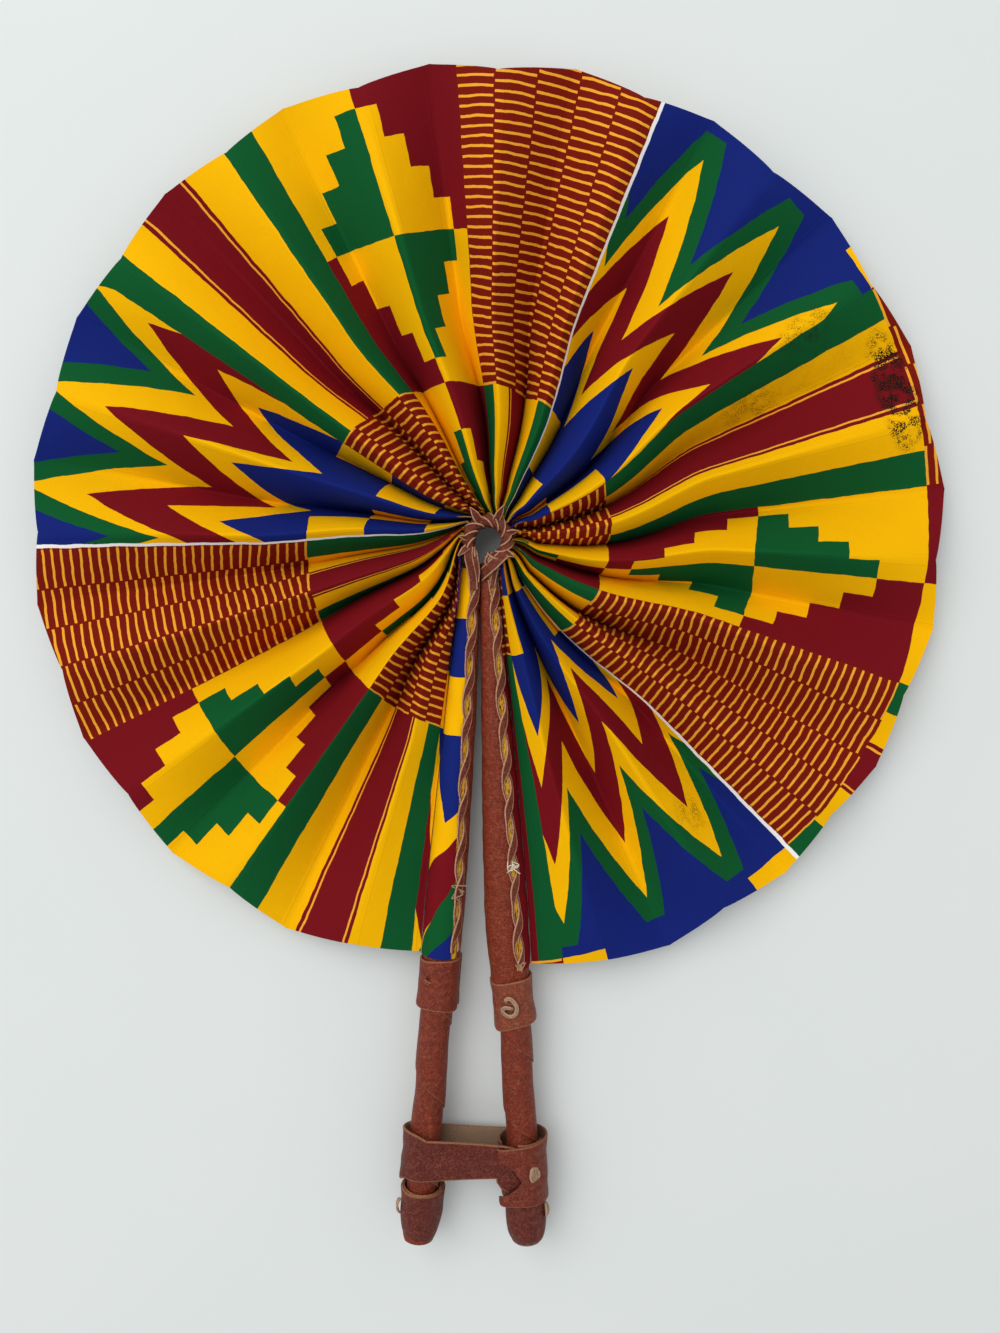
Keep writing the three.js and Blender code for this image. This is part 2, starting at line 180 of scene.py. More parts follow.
def piece(name, patches, finish, body=None, stands_for=()):
    """One mesh object made of patches, smooth except at edges sharper than 50 degrees."""
    starts = np.cumsum([0, *(len(verts) for verts, _, _ in patches)])
    faces = [[start + i for i in face] for start, (_, part, _) in zip(starts, patches) for face in part]
    points = np.concatenate([verts for verts, _, _ in patches])
    mesh = bpy.data.meshes.new(name)
    mesh.from_pydata(points.tolist(), [], faces)
    uvs = np.concatenate([uv for _, _, uv in patches])
    mesh.uv_layers.new(name="lay").data.foreach_set("uv", uvs.ravel())
    mesh.polygons.foreach_set("use_smooth", np.ones(len(faces), bool))
    mesh.set_sharp_from_angle(angle=math.radians(50))
    mesh.materials.append(finish)
    place(mesh, points)
    made = bpy.data.objects.new(name, mesh)
    bpy.context.scene.collection.objects.link(made)
    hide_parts(*stands_for)
    if body:
        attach(made, body)
    return made


def stick_piece(stick, name, node, patches, finish):
    """A piece that rides on one stick's body, in place of one of that stick's solids."""
    return piece(f"{stick.name}_{name}", patches, finish, stick.body, [f"{stick.name}_{node}"])


print("a grid of 3 by 4 points has", len(patch(np.zeros((3, 4, 3)), np.zeros((3, 4, 2)))[1]), "faces")

# %% [markdown]
# ## Strips along a path
# Thongs, collars, the strap and the knots are all flat strips of hide. A curve object with a bevel could
# make them too, but it wouldn't know face from edge. So a strip is worked out here: it has a face, a back
# and two round cut edges, and it follows a path while its face looks in a given direction. The first UV
# number tells the leather's finish which side it is on: 0 on the smooth grain side, 1 on the pale cut edge
# and 2 on the rough flesh side.


# %% A strip's outline
def strip_outline(faces, rim=0.08):
    """Outline of a strip: a round edge, the face, the other edge, the back and the first point again.

    flat runs from 1 to -1 over the face, with an extra step where the dye ends, a share rim from the edge.
    The angle round the thickness is a quarter turn on the face. side is the UV number of the hide's side.
    """
    edge = np.radians([-60.0, -20.0, 20.0, 60.0])
    bare = np.array([1.5, 1.0, 0.9, 0.8])
    run = np.concatenate([[1.0], np.linspace(1 - rim, rim - 1, faces + 1), [-1.0]])
    level = np.full(len(run), math.pi / 2)
    flat = np.concatenate([np.ones(4), run, -np.ones(4), -run, [1.0]])
    angle = np.concatenate([edge, level, math.pi + edge, 3 * level, [edge[0] + 2 * math.pi]])
    dyed = np.where(np.abs(run) == 1, 0.7, 0.0)
    side = np.concatenate([bare, dyed, bare[::-1], np.full(len(run), 2.0), bare[:1]])
    return flat, angle, side


print("a plain strip's outline has", len(strip_outline(2)[0]) - 1, "points")


# %% Strips along a path and round a stick
def unit(vectors):
    """The same directions with length one."""
    return vectors / np.linalg.norm(vectors, axis=-1, keepdims=True)


def headings(path, closed=False):
    """Direction of travel along a path: the next point minus the one before it."""
    if closed:
        loop = path[:-1]
        steps = np.roll(loop, -1, 0) - np.roll(loop, 1, 0)
        return unit(np.concatenate([steps, steps[:1]]))
    return unit(np.gradient(path, axis=0))


def strip(path, out, width, thickness=LEATHER, faces=2, lift=0.0, rim=0.08, closed=False):
    """A strip of hide along a path, its face towards out.

    A point is path + across * (flat * half the level width + cos(angle) * half the thickness)
    + face * (sin(angle) * half the thickness + lift), where across = out x heading.
    """
    flat, angle, side = strip_outline(faces, rim)
    along = headings(path, closed)
    across = unit(np.cross(out, along))
    face = np.cross(along, across)
    half = np.broadcast_to(np.asarray(thickness) / 2, len(path))[:, None]
    level = np.broadcast_to(np.asarray(width) / 2, len(path))[:, None] - half
    lift = lift(flat) if callable(lift) else lift
    points = (path[:, None] + across[:, None] * (flat * level + np.cos(angle) * half)[..., None]
              + face[:, None] * (np.sin(angle) * half + lift)[..., None])
    run = np.concatenate([[0], np.cumsum(np.linalg.norm(np.diff(path, axis=0), axis=1))])
    lay = spread(side[None], run[:, None])
    return patch(points, lay, round_rows=closed, round_columns=True, caps=not closed)


def wound(stick, angle, down, radius, thickness, outline):
    """A strip wound round a stick; angle, down and radius place its middle layer on the outline's grid."""
    _, around, side = outline
    half = thickness / 2
    points = on_stick(stick, angle, down - np.cos(around) * half, radius + np.sin(around) * half)
    lay = spread(side[None], down)
    return patch(points, lay, round_columns=True, caps=True, turn=True)


def smooth_path(bends, steps=8):
    """A smooth curve through a few bends.

    Each span is the cubic whose slope at a bend is half the step from the bend before it to the next one.
    """
    bends = np.asarray(bends, float)
    padded = np.concatenate([2 * bends[:1] - bends[1:2], bends, 2 * bends[-1:] - bends[-2:-1]])
    t = np.linspace(0, 1, steps, endpoint=False)[None, :, None]
    a, b, c, d = (padded[i:len(padded) - 3 + i, None] for i in range(4))
    spans = 0.5 * (2 * b + (c - a) * t + (2 * a - 5 * b + 4 * c - d) * t**2 + (3 * b - a - 3 * c + d) * t**3)
    return np.concatenate([spans.reshape(-1, bends.shape[1]), bends[-1:]])


print("a curve through 3 bends has", len(smooth_path([(0, 0), (1, 1), (2, 0)])), "points")

# %% [markdown]
# ## Shader maths in Python
# A finish is a network of nodes, but its formulas are easier to read as sums and products. A Wire is one
# output of a node. Python's operators on wires add Math nodes, so 1 - mask becomes a subtraction in the
# shader. A Finish holds one material; its node method makes any other node from its type, its settings
# and the values or wires of its sockets.


# %% Wires
def operator(operation, swap=False):
    """A method that adds one Math node to two values, the other way round if swapped."""
    def method(self, other):
        return self.math(operation, *((other, self) if swap else (self, other)))
    return method


class Wire:
    """One output of a node, with arithmetic."""

    def __init__(self, finish, socket):
        self.finish, self.socket = finish, socket

    def math(self, operation, *values):
        """A Math node on wires and numbers."""
        return self.finish.node("Math", {"operation": operation}, dict(enumerate(values)))

    __add__ = __radd__ = operator("ADD")
    __mul__ = __rmul__ = operator("MULTIPLY")
    __sub__, __rsub__ = operator("SUBTRACT"), operator("SUBTRACT", swap=True)
    __truediv__, __rtruediv__ = operator("DIVIDE"), operator("DIVIDE", swap=True)
    __mod__ = operator("FLOORED_MODULO")
    __lt__, __gt__ = operator("LESS_THAN"), operator("GREATER_THAN")
    least = operator("MINIMUM")

    def __abs__(self):
        return self.math("ABSOLUTE", self)

    def __floor__(self):
        return self.math("FLOOR", self)

    def sine(self):
        return self.math("SINE", self)

    def rise(self, low, high):
        """0 before low, 1 after high, smooth between; falls if low is above high."""
        ends = {"Value": self, "From Min": low, "From Max": high}
        return self.finish.node("MapRange", {"interpolation_type": "SMOOTHSTEP"}, ends)


# %% Finishes
class Finish:
    """A material with a Principled shader, whose constant values are set on the shader's own sockets."""

    def __init__(self, name, constants):
        self.material = bpy.data.materials.new(name)
        self.material.use_nodes = True
        self.tree = self.material.node_tree
        self.shader = self.tree.nodes["Principled BSDF"]
        for socket, value in constants.items():
            self.feed(socket, value)
        inside = self.node("TexCoord", output="Object")
        self.where = self.node("VectorMath", {"operation": "SCALE"}, {"Vector": inside, "Scale": 1 / MM})
        lay = self.node("SeparateXYZ", sockets={0: self.node("TexCoord", output="UV")})
        self.lay = lay, Wire(self, lay.socket.node.outputs[1])

    def node(self, kind, settings=None, sockets=None, output=0):
        """A new node; a ramp's stops are (position, colour) pairs."""
        node = self.tree.nodes.new("ShaderNode" + kind)
        for name, value in (settings or {}).items():
            if name == "stops":
                for stop, (position, colour) in enumerate(value):
                    ramp = node.color_ramp.elements
                    element = ramp[stop] if stop < 2 else ramp.new(position)
                    element.position, element.color = position, colour
            elif name == "ramp":
                node.color_ramp.interpolation = value
            else:
                setattr(node, name, value)
        for key, value in (sockets or {}).items():
            self.connect(node.inputs[key], value)
        return Wire(self, node.outputs[output])

    def connect(self, socket, value):
        """Links a wire to a socket, or sets the socket's own value."""
        if isinstance(value, Wire):
            self.tree.links.new(value.socket, socket)
        else:
            socket.default_value = value

    def feed(self, socket, value):
        """Gives one of the shader's sockets its wire or value."""
        self.connect(self.shader.inputs[socket], value)

    def mix(self, share, first, second):
        """The colour a share of the way from first to second."""
        return self.node("Mix", {"data_type": "RGBA"}, {0: share, 6: first, 7: second}, 2)

    def noise(self, per_mm, detail=2.0, stretch=(1, 1, 1), shift=0.0):
        """Soft random values round 0.5, with per_mm bumps in a millimetre."""
        spot = self.node("Mapping", {}, {"Vector": self.where, "Location": (shift, 0, 0), "Scale": stretch})
        return self.node("TexNoise", sockets={"Vector": spot, "Scale": per_mm, "Detail": detail})

    def bump(self, height):
        """Feeds the shader's normal from a height in millimetres."""
        self.feed("Normal", self.node("Bump", sockets={"Height": height, "Distance": MM}))


def linear(red, green, blue):
    """A colour of 0 to 255 as a screen shows it, in the linear light that shaders reckon with."""
    c = np.array([red, green, blue]) / 255
    return (*np.where(c <= 0.04045, c / 12.92, ((c + 0.055) / 1.055) ** 2.4).tolist(), 1.0)


print("a middle grey in linear light:", round(linear(128, 128, 128)[0], 3))

# %% [markdown]
# ## The print
# The cotton carries a traditional strip pattern. It was printed on a straight length of cloth before the
# cloth was pleated, so it is drawn here in the cloth's own flat coordinates: u along the rim and w from
# the hub outwards. A painted image would do for one distance, but formulas stay sharp at every distance,
# and a block's size can be changed in one place. Rows of blocks, 131 mm high, take turns. One row shows a
# zigzag, bricks, stepped diamonds and stripes; the other shows checks, stripes, stepped diamonds and
# bricks. Each block's formula gives the number of an ink, and one ramp with hard stops turns numbers into
# colours.

# %% Inks and blocks
INKS = [linear(23, 38, 116), linear(16, 88, 44), linear(254, 188, 3), linear(120, 18, 27),
        linear(124, 26, 14), linear(248, 172, 48), linear(250, 248, 246)]
BLUE, GREEN, YELLOW, WINE, BRICK_RED, GOLD, WHITE = range(len(INKS))
REPEAT = 397.8  # length of the pattern along the rim
ROW = 131.0
PANEL = 31.9  # stretch of the print that one panel takes, from fold to fold
PRINT_START = 14.6  # from the right stick's edge to the first zigzag
WAVE = 45.5  # from peak to peak of the zigzag
# a peak and a valley of each edge between two inks, as (x, y)
ZIGZAG = [((48.6, 139.4), (25.3, 80.5)), ((48.6, 116.5), (26.2, 60.5)), ((49.8, 91.0), (34.0, 41.0)),
          ((51.2, 58.0), (42.8, 13.5)), ((59.0, 36.5), (44.5, 0.0))]
BLUNT = 126.5  # no edge of the zigzag lies further out


def between(value, ends):
    """1 between two ends and 0 outside them."""
    return (value > ends[0]) * (value < ends[1])


def zigzag_ink(x, y):
    """Five saw-toothed edges from valley to peak and back; crossing each one changes the ink."""
    below = []
    for (peak_x, peak), (valley_x, valley) in ZIGZAG:
        rise = (peak_x - valley_x) % WAVE / WAVE
        t = (x - valley_x) % WAVE / WAVE
        tooth = (t / rise).least((1 - t) / (1 - rise))
        below.append(y < (valley + (peak - valley) * tooth).least(BLUNT))
    return below[0] + below[1] + below[2] - below[3] - 2 * below[4]


print("inks:", len(INKS), "edges in the zigzag:", len(ZIGZAG))

# %% Checks and bricks
CHECK = 24.0  # height of a band of checks
CHECK_MIDDLE, CHECK_CORE = (20, 98), (48, 70)  # ends of the middle field, and of the field inside it
BRICK, BAR_STEP = 18.2, 3.83  # width of a column of bricks, and from one gold bar to the next
BAR_HALF, BAR_SHARE = 8.7, 0.27  # half a bar's length, and its thickness as a share of the step


def check_ink(x, y):
    """Bands counted from both ends of the row; odd bands swap blue and yellow."""
    odd = math.floor(y.least(ROW - y) / CHECK) % 2
    middle = between(x, CHECK_MIDDLE)
    sides = middle - between(x, CHECK_CORE)
    return YELLOW * ((1 - odd) * (1 - middle) + odd * sides)


def brick_ink(x, y):
    """Gold bars on brick red; every second column of bars sits half a step higher."""
    column = math.floor(x / BRICK)
    bar = (y / BAR_STEP + 0.5 * (column % 2)) % 1.0 < BAR_SHARE
    return BRICK_RED + (GOLD - BRICK_RED) * bar * (abs(x % BRICK - BRICK / 2) < BAR_HALF)


print("gold bars in one column of a row:", int(ROW / BAR_STEP))

# %% Stepped diamonds and stripes
DIAMOND = 47.7, 61.0  # the diamond's middle
STEP, STEPS = (9.6, 12.6), 4  # width and height of a step, and their number from the middle to a tip
STRIPES = 16, 36, 62, 77  # where one stripe ends and the next one starts
GOLD_LINES, LINE_HALF = (38.3, 59.7), 0.5


def step_ink(x, y):
    """A stepped diamond in four quarters, green and yellow by turns, on yellow and wine."""
    across, along = x - DIAMOND[0], y - DIAMOND[1]
    inner = abs(across) < STEP[0] * (STEPS - math.floor(abs(along) / STEP[1]))
    twin = abs((across > 0) - (along > 0))
    return YELLOW + twin - inner


def stripe_ink(x):
    """Green, yellow, wine, yellow and green stripes; two thin gold lines edge the wine."""
    yellow, wine, yellow_again, green_again = (x > start for start in STRIPES)
    lines = sum(abs(x - line) < LINE_HALF for line in GOLD_LINES)
    return GREEN + yellow + wine - yellow_again - green_again + (GOLD - WINE) * lines


print("a diamond is", [round(2 * STEPS * size, 1) for size in STEP], "mm wide and high")

# %% Printed cotton
WHITE_LINE = 120.5, 122.2  # ends of the thin line between the first block and the second
DIAMONDS = 213.5, 306.5  # ends of the third block
SIDE_BLOCK, SIDE_STEP = 122.5, 184.0  # where the second block starts, and from there to the fourth
HEM_STRIPE = 3.4  # width of the wine stripe beside the right stick
TAIL = [(2.0, 93.5), (1.1, 101.4)]  # slope and place of two edges where the left end cloth changes its ink
HEM_MARK = -100.0  # stands for u on a raw hem
PRESS_LINE = 2.6  # from a fold to the line that the iron left beside it
WEAVE = 0.5  # from thread to thread
INK_STEP = 1 / 8  # stretch of the ramp that one ink takes
THREADS = [(0.36, linear(26, 20, 18)), (0.46, linear(214, 148, 20)), (0.56, linear(232, 178, 60)),
           (0.66, linear(112, 24, 20)), (0.76, linear(214, 206, 190))]
# worn black at the rim, and rubbed greyer further in: u, w, reach along each and strength
SMUDGES = [(366, 125, 34, 10, 2.4), (392, 66, 13, 17, 0.42), (109.5, 94, 11, 12, 0.5),
           (414, 101, 11, 15, 0.5), (395, 92, 34, 40, 0.16)]


def printed_cotton():
    """Where each block lies on the cloth, the inks' colours, the weave and the pressed folds."""
    look = Finish("printed_cotton", {"Specular IOR Level": 0.04})
    along, outward = look.lay
    u = along + (look.noise(0.12, 3.0) - 0.5) * 1.6
    w = outward + (look.noise(0.1, 3.0, shift=40.0) - 0.5) * 1.6
    row = math.floor(w / ROW)
    odd = row % 2
    y = w - row * ROW
    x = (u - PRINT_START) % REPEAT
    side = (x - SIDE_BLOCK) % SIDE_STEP
    second, fourth = between(x, (WHITE_LINE[1], DIAMONDS[0])), x > DIAMONDS[1]
    swap = second * odd + fourth * (1 - odd)
    ink = ((x < WHITE_LINE[0]) * (zigzag_ink(x, y) * (1 - odd) + check_ink(x, y) * odd)
           + swap * stripe_ink(side) + (second + fourth - swap) * brick_ink(side, y)
           + between(x, DIAMONDS) * step_ink(x - DIAMONDS[0], y) + WHITE * between(x, WHITE_LINE))
    hem = (along < HEM_STRIPE) * (1 - odd) * (w > 0)
    ink = ink * (1 - hem) + WINE * hem
    past = along - FOLDS * PANEL
    green, blue = (slope * past + outward > place for slope, place in TAIL)
    ink = ink * (1 - green) + GREEN * green + (BLUE - GREEN) * blue
    stops = [(number * INK_STEP, colour) for number, colour in enumerate(INKS)]
    colour = look.node("ValToRGB", {"ramp": "CONSTANT", "stops": stops}, {0: ink * INK_STEP + INK_STEP / 2})
    threads = look.node("ValToRGB", {"stops": THREADS}, {0: look.noise(1.6, 3.0, stretch=(1, 0.16, 1))})
    colour = look.mix(along < HEM_MARK / 2, colour, threads)
    dirt = sum(strength * (1 - ((along - u_spot) * (along - u_spot) / u_reach**2
                                + (outward - w_spot) * (outward - w_spot) / w_reach**2).rise(0.0, 1.0))
               for u_spot, w_spot, u_reach, w_reach, strength in SMUDGES)
    speckle = look.noise(1.9, 5.0, shift=3.0).rise(0.4, 0.62) * look.noise(0.2, 4.0).rise(0.36, 0.6)
    shade = 0.08 * look.noise(0.05, 3.0) + 0.2 * look.noise(1.7, 3.0) + dirt * speckle
    look.feed("Base Color", look.mix(shade.rise(0.06, 1.0), colour, linear(30, 24, 18)))
    look.feed("Roughness", 0.72 + 0.12 * look.noise(0.3, 3.0))
    fold = abs((along / PANEL + 0.5) % 1.0 - 0.5) * PANEL
    press = 1 - abs(fold - PRESS_LINE).rise(0.1, 0.7)
    weave = (along * (2 * math.pi / WEAVE)).sine() * (outward * (2 * math.pi / WEAVE)).sine()
    look.bump(0.03 * weave + 0.08 * press + 0.6 * look.noise(0.06, 4.0))
    return look.material


COTTON = printed_cotton()
print("print has", len(COTTON.node_tree.nodes), "nodes")

# %% [markdown]
# ## Leather and wood
# The sticks wear red-brown goatskin. Its grain side is smooth, with fine pores, cloudy dye and rubbed
# patches. Its cut edges are bare tan, and the flesh side is pale and fuzzy. A picture of leather would
# repeat and show its seams on a narrow strip, so noise and cells are worked out in space, in millimetres,
# and go on over every edge. One recipe makes every hide; only the colours differ. The wooden cores hide
# inside, and get a plain grained wood.


# %% Hides
def hide(name, grain, dark, worn, pale=(156, 104, 74), flesh=(104, 78, 60)):
    """Leather: dye that clouds from grain to dark, worn at bumps, with a pale edge and a fuzzy back."""
    grain, dark, worn, pale, flesh = (linear(*colour) for colour in (grain, dark, worn, pale, flesh))
    look = Finish(name, {"Specular IOR Level": 0.2})
    cloud = look.noise(0.22, 4.0)
    streak = look.noise(1.1, 3.0, stretch=(1, 0.25, 1), shift=9.0)
    pebble = look.node("TexVoronoi", {}, {"Vector": look.where, "Scale": 1.7})
    wrinkle = look.node("TexVoronoi", {"feature": "DISTANCE_TO_EDGE"}, {"Vector": look.where, "Scale": 0.8})
    rub = look.noise(0.5, 5.0, shift=21.0).rise(0.5, 0.72)
    dyed = look.mix((0.4 * cloud + 0.25 * streak + 0.5 * (1 - pebble)).rise(0.3, 0.84), dark, grain)
    creases = (1 - wrinkle.rise(0.0, 0.2)) * look.noise(0.6, 3.0, shift=33.0).rise(0.3, 0.7)
    dyed = look.mix(0.2 * rub + 0.5 * creases, dyed, worn)
    edge = look.lay[0].rise(0.35, 0.8)
    back = look.lay[0].rise(1.25, 1.6)
    fibre = look.noise(2.5, 4.0, stretch=(1, 0.4, 1))
    rough = look.mix(fibre.rise(0.3, 0.7), flesh, pale)
    bare = edge * (0.45 + 0.55 * fibre.rise(0.3, 0.6))
    look.feed("Base Color", look.mix(back, look.mix(bare, dyed, pale), look.mix(0.35, flesh, rough)))
    look.feed("Roughness", 0.4 + 0.25 * edge + 0.18 * streak)
    look.bump(0.1 * wrinkle.rise(0.0, 0.25) - 0.13 * pebble + 0.3 * cloud + 0.15 * streak
              + 0.12 * edge * fibre)
    return look.material


SLEEVE_HIDE = hide("sleeve_hide", (134, 46, 23), (94, 30, 14), (164, 88, 58))
HANDLE_HIDE = hide("handle_hide", (128, 45, 27), (90, 31, 20), (162, 88, 60))
STRAP_HIDE = hide("strap_hide", (102, 34, 24), (72, 25, 19), (144, 80, 60), flesh=(138, 116, 94))
# the cuff is the strap's own leather; this lighter copy of it is painted light, for the light that falls on
# the cuff
CUFF_LIT_HIDE = hide("cuff_lit_hide", (120, 43, 26), (86, 31, 20), (156, 88, 64), (140, 90, 68))
COLLAR_HIDE = hide("collar_hide", (142, 64, 41), (104, 46, 30), (172, 106, 76))
THONG_HIDE = hide("thong_hide", (116, 47, 31), (76, 28, 18), (146, 82, 60), (196, 152, 118))
KNOT_HIDE = hide("knot_hide", (166, 132, 104), (122, 94, 72), (196, 166, 138), (186, 150, 122))
print("hides:", [m.name for m in bpy.data.materials if m.name.endswith("_hide")])


# %% Raw fibre and wood
def fluff():
    """Raw cotton fibre: off-white, a little yellow in places, without gloss."""
    look = Finish("raw_fibre", {"Specular IOR Level": 0.1})
    cloud = look.noise(0.8, 3.0)
    look.feed("Base Color", look.mix(cloud.rise(0.4, 0.65), linear(226, 222, 212), linear(206, 168, 92)))
    look.feed("Roughness", 0.8 + 0.15 * cloud)
    return look.material


FLUFF = fluff()


def plain_wood():
    """Long grain along the stick: noise drawn out lengthwise, between two browns."""
    look = Finish("core_wood", {"Specular IOR Level": 0.3})
    grain = look.noise(0.9, 4.0, stretch=(1, 0.06, 1))
    look.feed("Base Color", look.mix(grain, linear(150, 112, 72), linear(190, 152, 106)))
    look.feed("Roughness", 0.6 + 0.2 * grain)
    look.bump(0.1 * grain)
    return look.material


WOOD = plain_wood()
for stick in (RIGHT, LEFT):
    core = frame["nodes"][f"{stick.name}_stick_core"]
    core.data.materials.clear()
    core.data.materials.append(WOOD)
print("finishes:", [m.name for m in bpy.data.materials if m.users])

# %% [markdown]
# ## The leaf
# A pleat is two panels of cloth that meet in a ridge. It could be modelled flat and folded with bones, but
# its shape is simple to write down. Each fold line runs from the hub's ring to the rim, and the panels
# keep one width, so where the lines stand closer together the pleat must stand higher. Near the hub the
# cloth rounds into narrow ropes; at the rim it lies in flat panels with a pressed edge. Small seeded
# shifts of the fold lines keep it from looking machine-made, and neighbours share them.

# %% Fold lines
rng = np.random.default_rng(7)
SWAY = rng.uniform(-1, 1, FOLDS + 1) * ((np.arange(FOLDS + 1) % FOLDS) > 0)
LOFT = rng.uniform(0, 1, FOLDS + 1)
HUB_SWAY, RIM_SWAY = np.radians([2.5, 0.45])  # most that a fold line stands aside near the hub and at the rim
HUB_LOFT, RIM_LOFT = 0.32, 0.1  # most that a fold line lacks of its height there, as a share
# how far each ridge leans round the hub, 25 mm from its middle
RIDGE_LEAN = np.radians([-0.5, -3, -5.5, -8.5, -9, -9, -9, -9, -7, -7, -3, -5, -1, -3, -5, 0, 0, 1, -2])
TRIM_FOLD, TRIM_RADIUS = [33, 37], [LEAF_RADIUS, 181.0]  # the rim is cut shorter towards the left stick
RING_INSET = np.radians([12, 28])  # from the right and the left stick to the ridge beside it, at the hub
LEAVING = 0.035  # share of the leaf's length in which a fold line makes most of its turn
RING_DROP = 150.0  # how fast the pleats get lower inside the ring, in mm for a whole share
GIVE_WAY, ASIDE = 8, 0.6  # fold lines that give way to the left stick, and the share of the angle they give


def stick_edge(stick, down):
    """Where the leaf's end lies beside a stick: its skin, a fit, the cloth and another fit out."""
    return on_stick(stick, 0.0 if stick.side > 0 else math.pi, down, skin_radius(down) + 2 * FIT + CLOTH)


def azimuth(point):
    """Angle round the hub, from +X towards +Y."""
    return math.atan2(point[1], point[0])


RIM = azimuth(stick_edge(RIGHT, CORNER_DOWN)), azimuth(stick_edge(LEFT, CORNER_DOWN)) + 2 * math.pi
HUB_ARC = azimuth(stick_edge(RIGHT, 0.0)), azimuth(stick_edge(LEFT, 0.0)) + 2 * math.pi
RING = HUB_ARC[0] + RING_INSET[0], HUB_ARC[1] - RING_INSET[1]
print("rim from", np.degrees(RIM).round(1), "ring from", np.degrees(RING).round(1))


def round_hub(turn, radius):
    """A point at an azimuth and a radius in the leaf's plane."""
    return spread(radius * np.cos(turn), radius * np.sin(turn), 0.0)


def ring_turn(fold):
    """Azimuth at which a fold line leaves the ring."""
    return lerp(*RING, (fold - 1) / (FOLDS - 2))


def rim_turn(fold):
    """Azimuth at which a fold line meets the rim."""
    return lerp(*RIM, fold / FOLDS)


def leaving(share):
    """Share of the turn from ring to rim that a fold line has made: it bends off fast, then runs radially."""
    return 1 - np.exp(-np.maximum(share, 0) / LEAVING)


def gap(share):
    """Distance between two neighbouring fold lines in the leaf's plane: a chord of the angle between them."""
    step = lerp((RING[1] - RING[0]) / (FOLDS - 2), (RIM[1] - RIM[0]) / FOLDS, leaving(share))
    return 2 * lerp(LEAF_INNER, LEAF_RADIUS, share) * np.sin(step / 2)


CUT_PANEL = math.hypot(gap(1.0), RIM_WAVE)  # width of the cloth from fold to fold
print("a panel is", round(CUT_PANEL, 1), "mm wide")


# %% Height and lean of a fold line
def pleat_height(share):
    """sqrt(panel^2 - gap^2), eased into the ring's depth over the first fifth of the leaf."""
    free = np.sqrt(np.maximum(CUT_PANEL**2 - gap(share) ** 2, 0))
    return lerp(RING_DEPTH + RING_DROP * np.minimum(share, 0), free, ease(share, 0, 0.22))


def make_room(fold, share):
    """Angle by which the fold lines next to the left stick give way to it, as it starts beside the hub."""
    edge = stick_edge(LEFT, share * LEFT.corner)
    inward = np.arctan2(edge[:, 1], edge[:, 0]) + 2 * math.pi - RIM[1]
    return ASIDE * inward * ease(fold, FOLDS - GIVE_WAY, FOLDS) * ease(share, 0.1, 0.3)


def fold_line(fold, share):
    """Points of a fold line from ring to rim, half the pleat's height above or below the leaf's middle.

    Near the hub the ridges lean and stand unevenly; both fade out towards the rim.
    """
    if fold in (0, FOLDS):
        stick = RIGHT if fold == 0 else LEFT
        return stick_edge(stick, share * stick.corner)
    lean = np.interp(fold, np.arange(1, FOLDS, 2), RIDGE_LEAN) + HUB_SWAY * SWAY[fold]
    turn = lerp(ring_turn(fold), rim_turn(fold) + RIM_SWAY * SWAY[fold], leaving(share))
    turn = turn + lean * ease(share, 0, 0.06) * (1 - ease(share, 0.12, 0.48)) + make_room(fold, share)
    reach = np.interp(fold, TRIM_FOLD, TRIM_RADIUS) + (-SCALLOP if fold % 2 else SCALLOP)
    line = round_hub(turn, lerp(LEAF_INNER, reach, share))
    uneven = LOFT[fold] * ease(share, 0, 0.1) * lerp(HUB_LOFT, RIM_LOFT, ease(share, 0.2, 0.7))
    line[:, 2] = (0.5 if fold % 2 else -0.5) * pleat_height(share) * (1 - uneven)
    return line


print("height of the pleats at ring and rim:", [float(pleat_height(share).round(1)) for share in (0.0, 1.0)])

# %% A pleat's face
# places along a fold line: a short stretch inside the ring, close steps in the ropes, wide ones further out
SHARES = np.concatenate([[-0.026, -0.018, -0.009], np.linspace(0, 0.25, 28)[:-1],
                         np.linspace(0.25, 0.994, 34), [1.0]])
half_steps = 0.5 - 0.5 * np.cos(np.linspace(0, math.pi, 25))
ACROSS = np.concatenate([half_steps, 1 + half_steps[1:]])  # 0, 1 and 2 at valley, ridge and valley


def pleat_face(number):
    """The pleat's face: an arc in plan from valley to ridge and on to the next valley.

    away is 0 on the ridge and 1 in the valley. In plan a panel goes out by away near the rim, and near the
    hub by 1 - (1 - away)^1.6, while its height falls by away^1.35: a rope with steep sides. Near the rim
    the height is a triangle wave, arcsin(crisp * sin), whose corners are sharper the nearer crisp is to 1.
    Places in plan are complex numbers, so the angle from ridge to valley is that of their quotient.
    """
    ridge = 2 * number - 1
    lines = [fold_line(f, SHARES)[:, None] for f in (ridge - 1, ridge, ridge + 1)]
    away = np.abs(1 - ACROSS)
    near = (1 - ease(SHARES, 0.12, 0.55))[:, None]
    crisp = lerp(0.99, 0.95, ease(SHARES, 0.6, 1.0))[:, None]
    flat_panel = 0.5 - 0.5 * np.arcsin(crisp * np.sin(math.pi * (away - 0.5))) / np.arcsin(crisp)
    height = lerp(flat_panel, 1 - away**1.35, near)
    out = lerp(away, 1 - (1 - away) ** 1.6, near)
    foot = np.where((ACROSS < 1)[:, None], lines[0], lines[2])
    low, top = (line[..., 0] + 1j * line[..., 1] for line in (foot, lines[1]))
    plan = top * (np.abs(low) / np.abs(top)) ** out * np.exp(1j * np.angle(low / top) * out)
    return np.stack([plan.real, plan.imag, lerp(foot[..., 2], lines[1][..., 2], height)], -1)


print("a pleat's face has", len(SHARES), "rows and", len(ACROSS), "columns")

